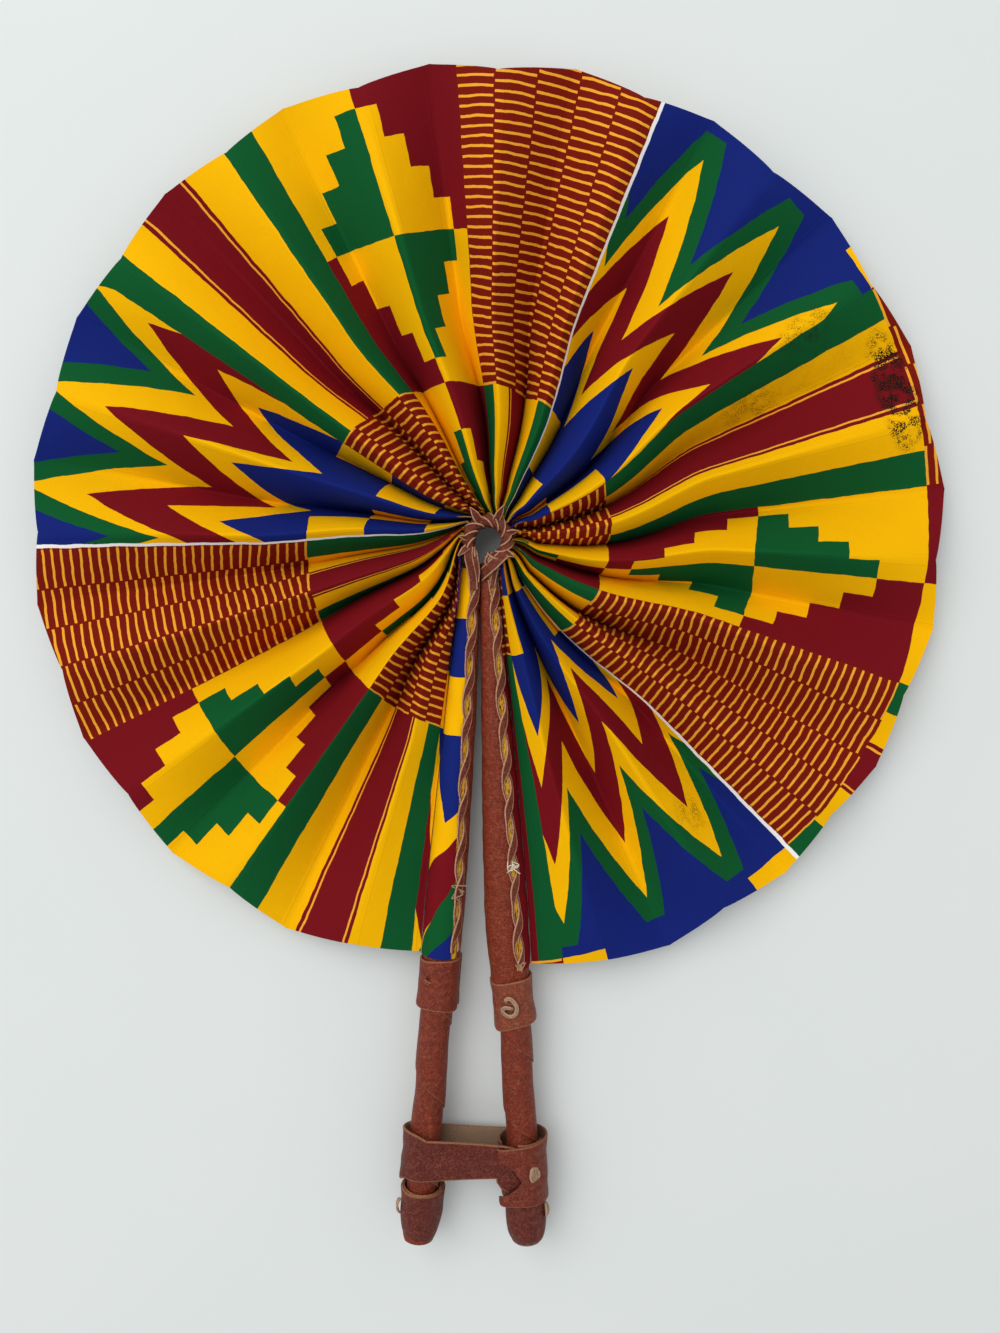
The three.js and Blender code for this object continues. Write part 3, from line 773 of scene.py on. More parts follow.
# %% The print's place and the cloth's back
PRINT_TURN = [-80, 0, 28, 45, 80, 135, 165, 225, 262]  # degrees round the hub
PRINT_RISE = [47.3, 48.6, 50.6, 52.8, 60, 68.5, 72.4, 77.6, 80]  # from the hub to the first row there
PRINT_DIP = 0.28  # how far the rows dip towards the hub on a ridge, as a share of the height


def print_place(face, fold):
    """u is the fold's number times the panel's width; w is the distance from the hub less the print's start.

    Further out the rows dip towards the hub on the ridges, as the rim does.
    """
    start = np.interp(np.degrees(rim_turn(fold)), PRINT_TURN, PRINT_RISE)
    radius = np.hypot(face[..., 0], face[..., 1])
    w = radius - start + PRINT_DIP * face[..., 2] * ease(radius, 50, 100)
    return spread(fold * PANEL, w)


def cloth_back(face, thickness):
    """The face moved back along its own normal, the cross product of its two directions."""
    normal = unit(np.cross(np.gradient(face, axis=1), np.gradient(face, axis=0)))
    return face + normal * thickness


print("the print's first row starts", min(PRINT_RISE), "to", max(PRINT_RISE), "mm from the hub")

# %% Pleats
RING_CLOTH = 0.25  # share of its thickness that the cloth keeps where the hub squeezes it


def pleat(number):
    """One pleat of double cloth.
    """
    face = pleat_face(number)
    thin = lerp(RING_CLOTH, 1.0, ease(SHARES, 0, 0.2))[:, None, None]
    lay = print_place(face, 2 * number - 2 + ACROSS)
    back_lay = np.stack([lay[..., 0], 2 * lay[-1:, :, 1] - lay[..., 1]], -1)
    grids = sheet_patch(face, cloth_back(face, CLOTH * thin), lay, back_lay)
    made = piece(f"pleat_{number:02d}_cloth", [grids], COTTON, stands_for=[f"pleat_{number:02d}"])
    plan = face[..., 0] + 1j * face[..., 1]
    turned = np.clip(np.angle(plan / plan[:, :1]) / np.angle(plan[:, -1:] / plan[:, :1]), 0, 1)
    share = np.concatenate([turned.ravel(), turned[1:-1, 1:-1].ravel()])
    laid_flat = np.zeros_like(grids[0])
    laid_flat[:, 0] = 0.5 - np.sin(np.arcsin(1 - 2 * share) / 3)
    made.data.vertices.foreach_set("co", laid_flat.ravel())
    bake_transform(made)
    place(made.data, grids[0])
    return made


leaf = [pleat(number) for number in range(1, PLEATS + 1)]
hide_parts("hub_gather")  # the gathered edge is the inner end of all the pleats
print("leaf:", len(leaf), "pleats of", len(leaf[0].data.polygons), "faces")

# %% [markdown]
# ## Cloth over the sticks
# The leaf's ends don't stop beside the sticks. They are drawn round them to the lacing, which holds a raw,
# frayed hem. On the left the cloth covers the stick's face, and on the right it also goes round the back.
# A cloth simulation could drape it, but the cloth lies tight there, so a sheet a little outside the
# leather is enough and always fits. The print runs on: the wraps use u and w as the pleats next to them do.

# %% Cloth wraps
HEM = 1.3  # how far the raw hem reaches to either side of the lacing's middle
RIGHT.laced, LEFT.laced = np.radians([68, 66]), np.radians([68, 44])  # angle at the hub and at the corner


def laced(stick, down):
    """The lacing's angle round a stick: on the left one it works its way to the inner side."""
    return lerp(*stick.laced, down / stick.corner)


def cloth_wrap(stick, far, fold):
    """A sheet just over a stick's leather, from its hem under the lacing, past the leaf, to the angle far.

    u runs on along the arc from the leaf's edge; on the hem it is HEM_MARK, which shows as threads.
    """
    down = np.linspace(0.5, stick.corner, 90)[:, None]
    share = np.linspace(0, 1, 34)[None]
    sewn = laced(stick, down)
    angle = lerp(sewn + stick.side * HEM / skin_radius(down), far, share)
    ripple = 0.2 * np.sin(down * 0.35 + 5 * share) * np.sin(math.pi * share)
    radius = skin_radius(down) + FIT + CLOTH + ripple
    face, back = (on_stick(stick, angle, down, radius - depth) for depth in (0, CLOTH))
    leaf_side = 0.0 if stick.side > 0 else math.pi
    u = fold * PANEL - stick.side * np.abs(angle - leaf_side) * radius
    u = np.where(np.abs(angle - sewn) * radius < HEM, HEM_MARK, u)
    lay = spread(u, down + LEAF_INNER - PRINT_RISE[0 if fold == 0 else -1])
    way = np.s_[:, ::stick.side]
    grids = sheet_patch(face[way], back[way], lay[way], lay[way])
    made = stick_piece(stick, "end_cloth", "cloth_wrap", [grids], COTTON)
    width = float(np.mean(np.abs(angle[:, -1:] - angle[:, :1]) * radius))
    return made


wraps = [cloth_wrap(LEFT, far=math.pi, fold=FOLDS), cloth_wrap(RIGHT, far=math.radians(-110), fold=0)]
print("end cloths:", [w.name for w in wraps])

# %% [markdown]
# ## Sticks and handles
# Each stick is covered in leather down to its collar. Below that a long strip of leather is wound round
# the handle, each turn lapping over the one below it, so the handle shows slanting steps. A tube with a
# bumpy finish would stay straight in outline, so the strip is drawn as it is wound: rows go round the
# stick, columns go across the strip, and its lower edge sits one leather thickness higher, on the next turn.


# %% Sleeves
SLACK_DOWN = [0, 13, 58, 105, 157, 170]  # the leather stands off between the sticks, where it is sewn
RIGHT.slack, LEFT.slack = [0.5, 0.7, 1.4, 2.4, 2.7, 1.6], [0.8, 1.0, 1.9, 1.7, 1.1, 0.8]
LIP, LIP_INSET = [-2.0, -1.7, -0.6], [0.6, 0.25, 0]  # the sleeve's rounded top edge
JOINT = 0.15  # half the gap between sleeve and handle wrap


def sleeve(stick):
    """A leather tube: its outside goes down the stick, its inside comes back up, and both go round it."""
    foot = sum(stick.collar) / 2 - JOINT
    down = np.concatenate([LIP, np.linspace(1.5, foot, 120)])
    skin = skin_radius(down) - np.interp(down, LIP, LIP_INSET)
    down = np.concatenate([down, down[::-1], down[:1]])[:, None]
    radius = np.concatenate([skin, skin[::-1] - LEATHER, skin[:1]])[:, None]
    angle = np.linspace(0, 2 * math.pi, 33)[None]
    uneven = 0.09 * np.sin(down * 0.23 + 2 * angle) + 0.07 * np.sin(down * 0.61 - angle)
    slack = np.interp(down, SLACK_DOWN, stick.slack) * np.clip(-stick.side * np.cos(angle), 0, 1) ** 2
    uneven = uneven + slack * (radius > skin_radius(down) - LEATHER / 2)
    side = np.concatenate([np.zeros(len(skin)), np.full(len(skin) + 1, 2.0)])[:, None]
    lay = spread(side, down, angle)[..., :2]
    grid = patch(on_stick(stick, angle, down, radius + uneven), lay, round_rows=True, round_columns=True)
    return stick_piece(stick, "sleeve", "stick_sleeve", [grid], SLEEVE_HIDE)


sleeves = [sleeve(stick) for stick in (RIGHT, LEFT)]
print("sleeves:", [len(s.data.polygons) for s in sleeves])


# %% Wound handles
PITCH, LAPPED = 37.0, 1.12  # rise of the strip in one turn, and its width in pitches
WRAP_RADIUS, WRAP_RISE, WRAP_THICK = 6.15, 0.65, 0.5
WRAP_SHORT = 1.8  # how far the wrap ends before the stick's end
FACET = 1 / 72  # one step of the strip, in turns
FRONT = 0.25 - (LAPPED - 1)  # the strip's start in turns, from which its lower edge meets the face at seen


def handle(stick, seen):
    """A strip wound round the handle: at each angle it covers one pitch and a lap of 12 percent.

    Its middle moves up the stick by one pitch a turn, and its radius rises by a little more than its
    thickness towards the lower edge. That edge crosses the middle of the handle's face at the distance seen.
    """
    top, foot = sum(stick.collar) / 2 + JOINT, STICK_LENGTH - WRAP_SHORT
    phase = ((seen - foot) / PITCH - 1) % 1
    turn = np.arange(0, (foot - top) / PITCH + phase + 1.2, FACET)
    low = foot + (phase - turn) * PITCH
    ends = np.stack([np.clip(low, top, foot), np.clip(low + LAPPED * PITCH, top, foot)], -1)
    wide = ends[:, 1] - ends[:, 0] > 1.5
    turn, low, ends = turn[wide, None], low[wide, None], ends[wide]
    outline = strip_outline(20, 0.02)
    down = lerp(ends[:, :1], ends[:, 1:], (1 - outline[0]) / 2)
    share = (down - low) / PITCH
    lumpy = 0.1 * np.sin(turn * 9 + share * 5) + 0.09 * np.sin(turn * 23 - share * 13)
    lumpy = lumpy * np.sin(math.pi * np.clip(share, 0, 1))
    radius = WRAP_RADIUS + WRAP_RISE * ease(share, 0.3, 1.0) + lumpy
    grid = wound(stick, 2 * math.pi * (turn + FRONT), down, radius, WRAP_THICK, outline)
    return stick_piece(stick, "handle", "handle_wrap", [grid], HANDLE_HIDE)


handles = [handle(RIGHT, seen=201.3), handle(LEFT, seen=221.0)]
print("handles:", [len(h.data.polygons) for h in handles])

# %% [markdown]
# ## Collars, caps and strap
# A short band of leather covers the joint between sleeve and handle, with its end lapped over its start.
# A cap is a little leather cup on the handle's end. The strap is one band round both handles; its end is
# turned round the right handle once more as a cuff and tied down. Plain cylinders would do from afar. Here
# the laps, the flared edges and the notch in the cuff are the shape, so each band is a wound strip whose
# edges and radius change with the angle, and the cap is a profile turned round the stick.


# %% Collars
COLLAR_RADIUS, COLLAR_SKIN = 7.95, 8.4  # of its middle layer and, about, of its outside
COLLAR_LAP = 0.75  # angle by which its ends lap


def collar(stick, seam, top, foot, shape, finish):
    """A strip wound a little more than once round the joint; its end climbs over its start.

    top and foot are (middle, slope): each edge lies at middle + slope * cos(angle) down the stick.
    """
    outline = strip_outline(24, 0.04)
    share = np.linspace(0, 1, 150)[:, None]
    angle = seam + share * (2 * math.pi + COLLAR_LAP)
    edges = [middle + slope * np.cos(angle) + 0.25 * np.sin(3 * angle) for middle, slope in (top, foot)]
    down = lerp(*edges, (1 - outline[0]) / 2)
    radius = COLLAR_RADIUS + LEATHER * ease(share, 0.82, 0.92) + 0.1 * np.sin(3 * angle)
    radius = radius + shape(angle, outline[0], down)
    grid = wound(stick, angle, down, radius, LEATHER, outline)
    return stick_piece(stick, "collar_band", "collar", [grid], finish)


def right_flare(angle, flat, down):
    """The top edge stands out at the left and the lower edge at the right."""
    left, right = np.clip(-np.cos(angle), 0, 1), np.clip(np.cos(angle), 0, 1)
    return 0.8 * left * ease(flat, 0.2, 1.0) + 0.9 * right * ease(-flat, 0.0, 0.9) - 0.1 * (1 - flat**2)


SLIT = math.radians(123), 173.4  # angle and distance down the left stick


def left_pucker(angle, flat, down):
    """A dent at the slit, and creases that run out from it: a sine of the bearing, fading with distance."""
    across, along = (np.mod(angle, 2 * math.pi) - SLIT[0]) * COLLAR_SKIN, down - SLIT[1]
    distance = np.hypot(across, along)
    fading = np.exp(-distance / 5) * ease(distance, 0.5, 2.5)
    creases = 0.28 * np.sin(7 * np.arctan2(along, -across)) * fading
    return creases - np.exp(-((across / 1.3) ** 2) - (along / 2.4) ** 2) + 0.35 * ease(-flat, 0.3, 1.0)


collars = [collar(RIGHT, seam=math.radians(200), top=(173.4, -1.0), foot=(192.6, -1.8),
                  shape=right_flare, finish=COLLAR_HIDE),
           collar(LEFT, seam=math.radians(-60), top=(164.6, -0.8), foot=(185.2, 0.5),
                  shape=left_pucker, finish=HANDLE_HIDE)]
print("collars:", [len(c.data.polygons) for c in collars])


# %% End caps
def end_cap(stick, mouth, taper, seam):
    """A cup turned round the stick: floor, inside wall, lip, outside wall and rounded foot.

    mouth widens the lip, which then also shows a lining; taper draws in the foot; and past the seam's
    angle the leather laps one step higher.
    """
    profile = np.array([(289.9, 0.4), (289.9, 5.4), (288.6, 6.6), (CAP_TOP + 0.4, 7.65), (CAP_TOP, 8.0),
                        (CAP_TOP, 8.4), (CAP_TOP + 0.5, CAP_RADIUS), (272.0, 8.65), (278.0, CAP_RADIUS),
                        (284.0, 8.6), (287.0, 8.2), (289.3, 7.2), (290.4, 5.6), (290.7, 4.0), (290.7, 0.4)])
    fine = smooth_path(profile, 5)  # its rows 15 to 30 go over the lip
    down, radius = fine[:, :1], fine[:, 1:]
    angle = np.linspace(0, 2 * math.pi, 97)[None]
    outside = ease(np.arange(len(fine))[:, None], 22, 32)
    past = np.mod(angle - seam - 0.05 * (down - 280), 2 * math.pi)
    lap = 0.8 * ease(past, 0.0, 0.09) * (1 - ease(past, 0.5, 1.6)) * ease(radius, 5, 8)
    dent = 0.2 * np.sin(2 * angle + 0.3 * down) + 0.14 * np.sin(5 * angle - 0.2 * down) + lap
    wide = mouth * (1 - ease(down, CAP_TOP, CAP_TOP + 7)) - taper * ease(down, 274, 290)
    lift = (1 - ease(down, CAP_TOP, CAP_TOP + 9)) * (0.7 * np.sin(angle + 2) * np.sin(2 * angle) - lap)
    body = np.maximum(radius + (wide + outside * dent) * ease(radius, 1, 7), 0.3)
    side = np.interp(np.arange(len(fine)), [0, 14, 18, 25, 28], [2, 2, 1, 1, 0])[:, None]
    lay = spread(side, down, angle)[..., :2]
    grids = [patch(on_stick(stick, angle, down + lift, body), lay, round_columns=True, caps=True)]
    if mouth:
        outline = strip_outline(6, 0.15)
        round_mouth = np.linspace(0.4, 2 * math.pi + 0.2, 90)[:, None]
        lining = CAP_TOP - 1.1 + 0.5 * np.sin(round_mouth) + 3.0 * (1 - outline[0])
        grids.append(wound(stick, round_mouth, lining, 7.55 + 0.5 * mouth, 0.7, outline))
    return stick_piece(stick, "cap", "end_cap", grids, STRAP_HIDE)


caps = [end_cap(RIGHT, mouth=0.0, taper=0.2, seam=math.radians(250)),
        end_cap(LEFT, mouth=0.7, taper=1.2, seam=math.radians(-10))]
print("caps:", [len(c.data.polygons) for c in caps])

# %% Strap
STRAP_DOWN = CAP_TOP - 12.7  # its middle, down the sticks
STRAP_THICK = 1.2
STRAP_SLACK = 0.9  # how far its two runs between the handles sag towards each other
ends = [on_stick(stick, 0.0, STRAP_DOWN, 0.0) for stick in (RIGHT, LEFT)]
END_RADIUS = 8.5, 9.3  # of its bends round the right and the left handle
BACK_WIDTH, FRONT_WIDTH = (17, 21), (14, 18.5)  # of its runs at the right and at the left handle


def round_handle(angle, number):
    """Points of the strap's bend round the right handle, number 0, or the left one, number 1."""
    radius = END_RADIUS[number]
    x = ends[number][0] + radius * np.cos(angle)
    return np.stack([x, np.full_like(angle, ends[0][1]), radius * np.sin(angle)], -1)


def strap_path():
    """Half a turn round the right handle, the front run, half a turn round the left one and the back run."""
    bend = np.linspace(-math.pi / 2, math.pi / 2, 40)
    run = np.linspace(0, 1, 42)[1:-1, None]
    right, left = round_handle(bend, 0), round_handle(bend + math.pi, 1)
    slack = np.array([0, 0, -STRAP_SLACK]) * np.sin(math.pi * run)
    front, back = lerp(right[-1], left[0], run) + slack, lerp(left[-1], right[0], run) - slack
    return np.concatenate([right, front, left, back, right[:1]])


def lean_with_handles(verts):
    """Shears the strap sideways with height, so that each end follows the lean of its own handle."""
    lean = np.interp(verts[:, 0], [ends[1][0], ends[0][0]], [math.tan(-LEFT.lean), -math.tan(RIGHT.lean)])
    verts[:, 0] += lean * (verts[:, 1] - ends[0][1])


def creased(flat):
    """Long shallow waves across the strap's width."""
    return 0.18 * np.sin(4 * flat) + 0.12 * np.sin(9 * flat)


# the strap is broader at the back, round the left handle and under the cuff, and its middle moves with that
loop = strap_path()
out = np.cross([0, 1, 0], headings(loop, closed=True))
leftward = np.clip((ends[0][0] - loop[:, 0]) / (ends[0][0] - ends[1][0]), 0, 1)
front = ease(loop[:, 2], -6, 6)
bulge = ease(ends[1][0] - loop[:, 0], 0, 6)
under_cuff = ease(loop[:, 0], ends[0][0] - 8, ends[0][0] - 3)
front_width = lerp(*FRONT_WIDTH, leftward) + 8 * under_cuff
strap_width = lerp(lerp(*BACK_WIDTH, leftward), front_width, front) + 2.5 * bulge
loop[:, 1] += lerp(1.5, lerp(3.2, 4.4, leftward), front) + 1.2 * bulge - 3.0 * under_cuff
band = strip(loop, out, strap_width, STRAP_THICK, faces=16, lift=creased, rim=0.04, closed=True)
lean_with_handles(band[0])
print("strap is", strap_width.min().round(1), "to", strap_width.max().round(1), "mm wide")

# %% Cuff of the strap
CUFF = 244.0, 269.6  # its two edges, down the right stick
CUFF_RADIUS, CUFF_THICK = 9.8, 1.0
CUFF_START = math.radians(-200)
NOTCH_DOWN = [249.0, 250.4, 251.2, 254.3, 258.7, 262.0, 266.0, 267.4]
NOTCH_TURN = np.radians([150, 140, 120, 108, 94, 108, 138, 150])  # where its end is cut, at each distance


def cuff():
    """The strap's end, once round the right handle: it is cut to a notch, so its last angle depends on down.

    Past the middle of the face its outline squares off, so that its end lies flat on the band:
    (|cos|^n + |sin|^n)^(-1/n) is a circle for n = 2 and nearly a square for n = 7.
    """
    outline = strip_outline(30, 0.035)
    flat = outline[0]
    share = np.linspace(0, 1, 130)[:, None]
    middle = lerp(*CUFF, (1 - flat) / 2)[None]
    angle = lerp(CUFF_START, np.interp(middle, NOTCH_DOWN, NOTCH_TURN), share)
    down = middle - lerp(1.0, -0.8, (1 - flat) / 2) * np.cos(angle)
    right = np.clip(np.cos(angle - 0.4), 0, 1) ** 2
    radius = CUFF_RADIUS - 0.5 * (1 - ease(share, 0, 0.12)) + 0.9 * ease(share, 0.62, 0.85)
    corner = np.where(np.cos(angle) * (angle > 0) < 0, 7.0, 2.0)
    radius = radius / (np.abs(np.cos(angle)) ** corner + np.abs(np.sin(angle)) ** corner) ** (1 / corner)
    lumpy = 0.12 * np.sin(5 * angle + 3 * flat) * (1 - flat**2)
    radius = radius + 1.1 * right * ease(flat, 0.35, 1.0) + lumpy
    return wound(RIGHT, angle, down, radius, CUFF_THICK, outline)


# the cuff wears a lighter copy of the strap's leather: painted light
strap = [piece("strap_band", [band], STRAP_HIDE, "strap", ["strap_loop"]),
         piece("strap_cuff", [cuff()], CUFF_LIT_HIDE, "strap", ["strap_loop"])]
print("strap:", [len(part.data.polygons) for part in strap], "faces")

# %% [markdown]
# ## Knots
# Collars, caps and strap are tied with short bits of thong pulled through the leather. Tying them in a
# simulation would take long and end differently each time. A few listed bends are enough: each knot is
# a strip along a smooth curve through them, in its own small frame: across, along and out of the surface.

# %% Knots
HOOK = [(-1.6, 0.8, -0.9), (-1.6, 2.6, 0.4), (0.0, 3.5, 0.9), (1.8, 2.4, 1.1), (3.0, 0.0, 1.1),
        (2.4, -2.8, 1.0), (0.4, -4.2, 0.8), (-2.0, -3.6, 0.8), (-3.1, -1.7, 1.0), (-1.9, -0.3, 1.6),
        (0.2, -0.3, 1.7), (1.2, -1.3, 0.2)]
OVAL = [(0.4, 3.1, -1.0), (0.3, 3.0, 0.3), (-0.2, 1.9, 1.1), (-0.3, 0.0, 1.4), (-0.2, -1.9, 1.1),
        (0.3, -3.0, 0.3), (0.4, -3.1, -1.0)]
TUCK = [(-1.6, 0.5, -1.1), (-0.9, 0.4, -0.2), (0.2, 0.0, 0.1), (1.2, -0.4, -0.3), (1.7, -0.6, -1.2)]
COLLAR_SEAT, CUFF_SEAT = 8.8, 10.2  # radius round the stick at which a knot lies on its leather
KNOT_THICK = 1.0


def knot(name, node, body, stick, spot, up, bends, width, finish):
    """A thong along the bends, at a spot (angle, distance down, radius) of a stick; its face looks outwards.

    An oval knot narrows to both ends like an ellipse, and any other keeps its width almost to its ends.
    """
    seat = on_stick(stick, *spot)
    right = np.array([math.sin(spot[0]), 0, -math.cos(spot[0])])
    face = np.cross(right, up)
    path = seat + smooth_path(bends, 8) @ np.stack([right, up, face])
    share = np.cumsum(np.linalg.norm(np.diff(path, axis=0, prepend=path[:1]), axis=1))
    share = share / share[-1]
    oval = np.sqrt(np.clip(1 - ((share - 0.5) / 0.4) ** 2, 0.05, 1))
    taper = width * (oval if bends is OVAL else 0.45 + 0.55 * np.sin(math.pi * share) ** 0.2)
    out = np.broadcast_to(face, path.shape) + 0.3 * unit(path - seat + 0.01)
    grid = strip(path, out, taper, KNOT_THICK, faces=3, rim=0.25)
    return piece(name, [grid], finish, body, [node])


# spot, bends, width and finish of the knots on each stick
CAP_SPOT = CAP_TOP + 8.3, CAP_RADIUS + 0.1
RIGHT.ties = {"cap": ((math.radians(22), *CAP_SPOT), OVAL, 3.2, KNOT_HIDE),
              "collar": ((math.radians(100), 182.4, COLLAR_SEAT), HOOK, 1.8, KNOT_HIDE)}
LEFT.ties = {"cap": ((math.radians(172), *CAP_SPOT), OVAL, 3.2, KNOT_HIDE),
             "collar": ((*SLIT, COLLAR_SEAT), TUCK, 1.7, SLEEVE_HIDE)}
CUFF_SPOT = math.radians(64), 256.1, CUFF_SEAT
knots = []
for stick in (RIGHT, LEFT):
    up = np.array([-math.sin(stick.lean), math.cos(stick.lean), 0])
    for place_name, (spot, bends, width, finish) in stick.ties.items():
        name = f"{stick.name}_{place_name}"
        knots.append(knot(f"{name}_tie", f"{name}_knot", stick.body, stick, spot, up, bends, width, finish))
upright = np.array([0, 1, 0])
knots.append(knot("strap_tie", "strap_knot", "strap", RIGHT, CUFF_SPOT, upright, OVAL, 5.0, KNOT_HIDE))
print("knots:", [k.name for k in knots])

# %% [markdown]
# ## Lacing
# Two strands of thong twist round each other along each stick and hold cloth and leather together. Where a
# strand comes to the top it is broad; where it goes under it is drawn thin, and between two crossings the
# frayed hem shows. At the hub a thong is wound over the gathered ends of the pleats, each turn lapping the
# one before, and its cut ends stand out like a star. Real stitches go through the leather; as that part is
# hidden, the strands only swing in and out. Each turn at the hub is a piece of its own and rides on the body
# of the pleat that it ties down.

# %% Stick lacing
CROSSING = 17.0  # from one crossing of the strands to the next
SWING = 1.6  # how far a strand swings to either side
LACED_FROM, LACED_SHORT = 5.0, 3.0  # where the lacing starts, and how far it ends before the leaf's corner
THONG = 0.8  # thickness of a narrow thong
UNDER_WIDTH, OVER_WIDTH = 1.15, 3.45  # of a strand where it goes under and where it comes to the top


def edge_lacing(stick):
    """Two strands along the stick: sideways they swing by -cos, in and out by sin, half a turn apart."""
    down = np.linspace(LACED_FROM, stick.corner - LACED_SHORT, 640)
    skin = skin_radius(down) + FIT + CLOTH
    grids = []
    for shift in (0, math.pi):
        turn = math.pi * (down - LACED_FROM) / CROSSING + shift
        over = np.sin(turn)
        angle = laced(stick, down) - SWING / skin * np.cos(turn) + 0.03 * np.sin(down * 0.37 + shift)
        path = on_stick(stick, angle, down, skin + THONG / 2 + 0.45 * over)
        out = path - on_stick(stick, angle, down, 0.0)
        width = lerp(UNDER_WIDTH, OVER_WIDTH, np.clip(over, 0, 1) ** 2)
        grids.append(strip(path, out, width, THONG, faces=3, lift=lambda flat: 0.15 * flat, rim=0.3))
    return stick_piece(stick, "whipping", "edge_lacing", grids, THONG_HIDE)


lacing = [edge_lacing(stick) for stick in (RIGHT, LEFT)]
print("lacing:", [len(k.data.polygons) for k in lacing])


# %% Loose fibres on the lacing
FIBRE_WIDTH, FIBRE_THICK = 0.4, 0.3


def tuft(name, stick, down, count, length, finish):
    """Thin fibres that curl out of the lacing, each a smooth curve through four seeded bends."""
    seat = on_stick(stick, laced(stick, down), down, skin_radius(down) + 1.6)
    bends = rng.uniform(-1, 1, (count, 4, 3)) * np.array([0.2, 0.5, 0.8, 1.0])[:, None] * length
    bends[..., 2] = np.abs(bends[..., 2]) * 0.5
    paths = [seat + smooth_path(bend, 6) for bend in bends]
    out = np.broadcast_to([0.0, 0.0, 1.0], paths[0].shape)
    grids = [strip(path, out, FIBRE_WIDTH, FIBRE_THICK, faces=1) for path in paths]
    return piece(name, grids, finish, stick.body)


fibres = [tuft("right_lace_fluff", RIGHT, down=123.8, count=9, length=3.2, finish=FLUFF),
          tuft("right_hem_fray", RIGHT, down=165.5, count=5, length=2.6, finish=KNOT_HIDE),
          tuft("left_lace_thread", LEFT, down=133.0, count=3, length=5.0, finish=KNOT_HIDE)]
print("fibres on:", [f.name for f in fibres])

# %% Hub lacing
HUB_TURNS = 9
GATHER = 7.75  # radius of the gathered edge's middle
HUB_THONG = 0.9  # thickness
HUB_WIDTH, HUB_SLANT = 3.7, 0.36  # of a turn, before it is varied
RUN, BEND = 6.25, 2.0  # half the length of a turn's straight runs, and the radius of its bends


def hub_turn(middle, width, slant):
    """One turn of thong round the gathered edge: two straight runs and two half circles.

    Its azimuth grows with the distance from the hub, so that the turn leans, and its edges lap by a tilt.
    """
    bend = np.linspace(0, math.pi, 22)
    rise = np.linspace(-RUN, RUN, 10)[1:-1]
    ones = np.ones(len(rise))
    side = np.concatenate([np.cos(bend), -ones, -np.cos(bend), ones, [1.0]])
    level = np.concatenate([RUN + BEND * np.sin(bend), -rise, -RUN - BEND * np.sin(bend), rise, [RUN]])
    turn = middle + slant * side
    path = round_hub(turn, GATHER + BEND * side)
    path[:, 2] = level
    core = round_hub(turn, GATHER)
    core[:, 2] = np.clip(level, -RUN, RUN)
    return strip(path, path - core, width, HUB_THONG, 3, lift=lambda flat: 0.5 * flat, rim=0.2, closed=True)


def leaf_body(turn):
    """The body of the pleat that meets the hub at an azimuth."""
    fold = 1 + (FOLDS - 2) * (turn - RING[0]) / (RING[1] - RING[0])
    return BODIES[int(np.clip(round(fold / 2), 0, PLEATS))]


def hub_piece(name, grids, body):
    """A piece of the hub's thong, which rides on the body that it ties down."""
    return piece(name, grids, THONG_HIDE, body, ["hub_lacing"])


hub_thongs = []
for number in range(HUB_TURNS):
    turn = lerp(*HUB_ARC, (number + 0.5) / HUB_TURNS)
    width, slant = HUB_WIDTH + 0.4 * SWAY[3 * number + 1], HUB_SLANT + 0.05 * SWAY[3 * number + 2]
    grid = hub_turn(turn, width, slant)
    hub_thongs.append(hub_piece(f"hub_thong_{number + 1:02d}", [grid], leaf_body(turn)))
print("hub turns:", len(hub_thongs))

# %% Ends of the hub's thong
# base, tip and width of each cut end
STAR = [((-3.4, 7.4), (-7.0, 12.8), 3.4), ((3.2, 7.8), (6.4, 13.6), 3.2), ((8.0, 2.6), (12.2, 3.6), 2.4),
        ((6.8, -4.8), (10.4, -6.9), 2.6), ((-8.6, 0.6), (-11.6, 1.4), 2.0),
        ((-8.2, -2.8), (-12.0, -6.4), 2.6)]
# bends and width of each run of thong that goes from the hub to a stick
RIGHT.bridges = [([(6.8, -5.3, 8.5), (4.4, -7.6, 9.0), (1.5, -10.4, 8.3), (-1.4, -13.0, 5.6),
                   (-3.2, -14.8, 1.6)], 4.5),
                 ([(3.6, -8.6, 6.8), (2.9, -12.0, 5.6), (2.2, -15.5, 5.0), (1.6, -19.0, 5.0)], 2.6),
                 ([(2.0, -5.6, 7.2), (0.0, -7.0, 8.2), (-0.5, -9.0, 7.8), (0.9, -10.4, 6.6)], 1.8)]
LEFT.bridges = [([(-7.6, -2.8, 8.3), (-7.8, -7.0, 8.3), (-7.0, -11.0, 6.9), (-6.2, -15.5, 5.3),
                  (-6.0, -20.0, 5.0)], 3.6),
                ([(-5.6, -4.4, 7.9), (-5.0, -8.5, 7.5), (-4.5, -12.5, 5.8), (-4.9, -17.0, 4.9)], 2.6)]
STAR_LEVEL, STAR_ARCH = 8.4, 1.4  # height of a cut end above the leaf's middle, and how far it arches up


def thong_end(base, tip, width):
    """A cut end that runs out from the hub over the pleats in a low arch and narrows to a point."""
    share = np.linspace(0, 1, 14)[:, None]
    arch = STAR_LEVEL + STAR_ARCH * np.sin(2.2 * share)
    path = np.concatenate([lerp(np.array(base), np.array(tip), share), arch], 1)
    out = np.broadcast_to([0.15, -0.1, 1.0], path.shape)
    taper = width * (1 - 0.8 * ease(share[:, 0], 0.35, 1.1))
    return strip(path, out, taper, THONG, faces=3, lift=lambda flat: 0.35 * flat, rim=0.2)


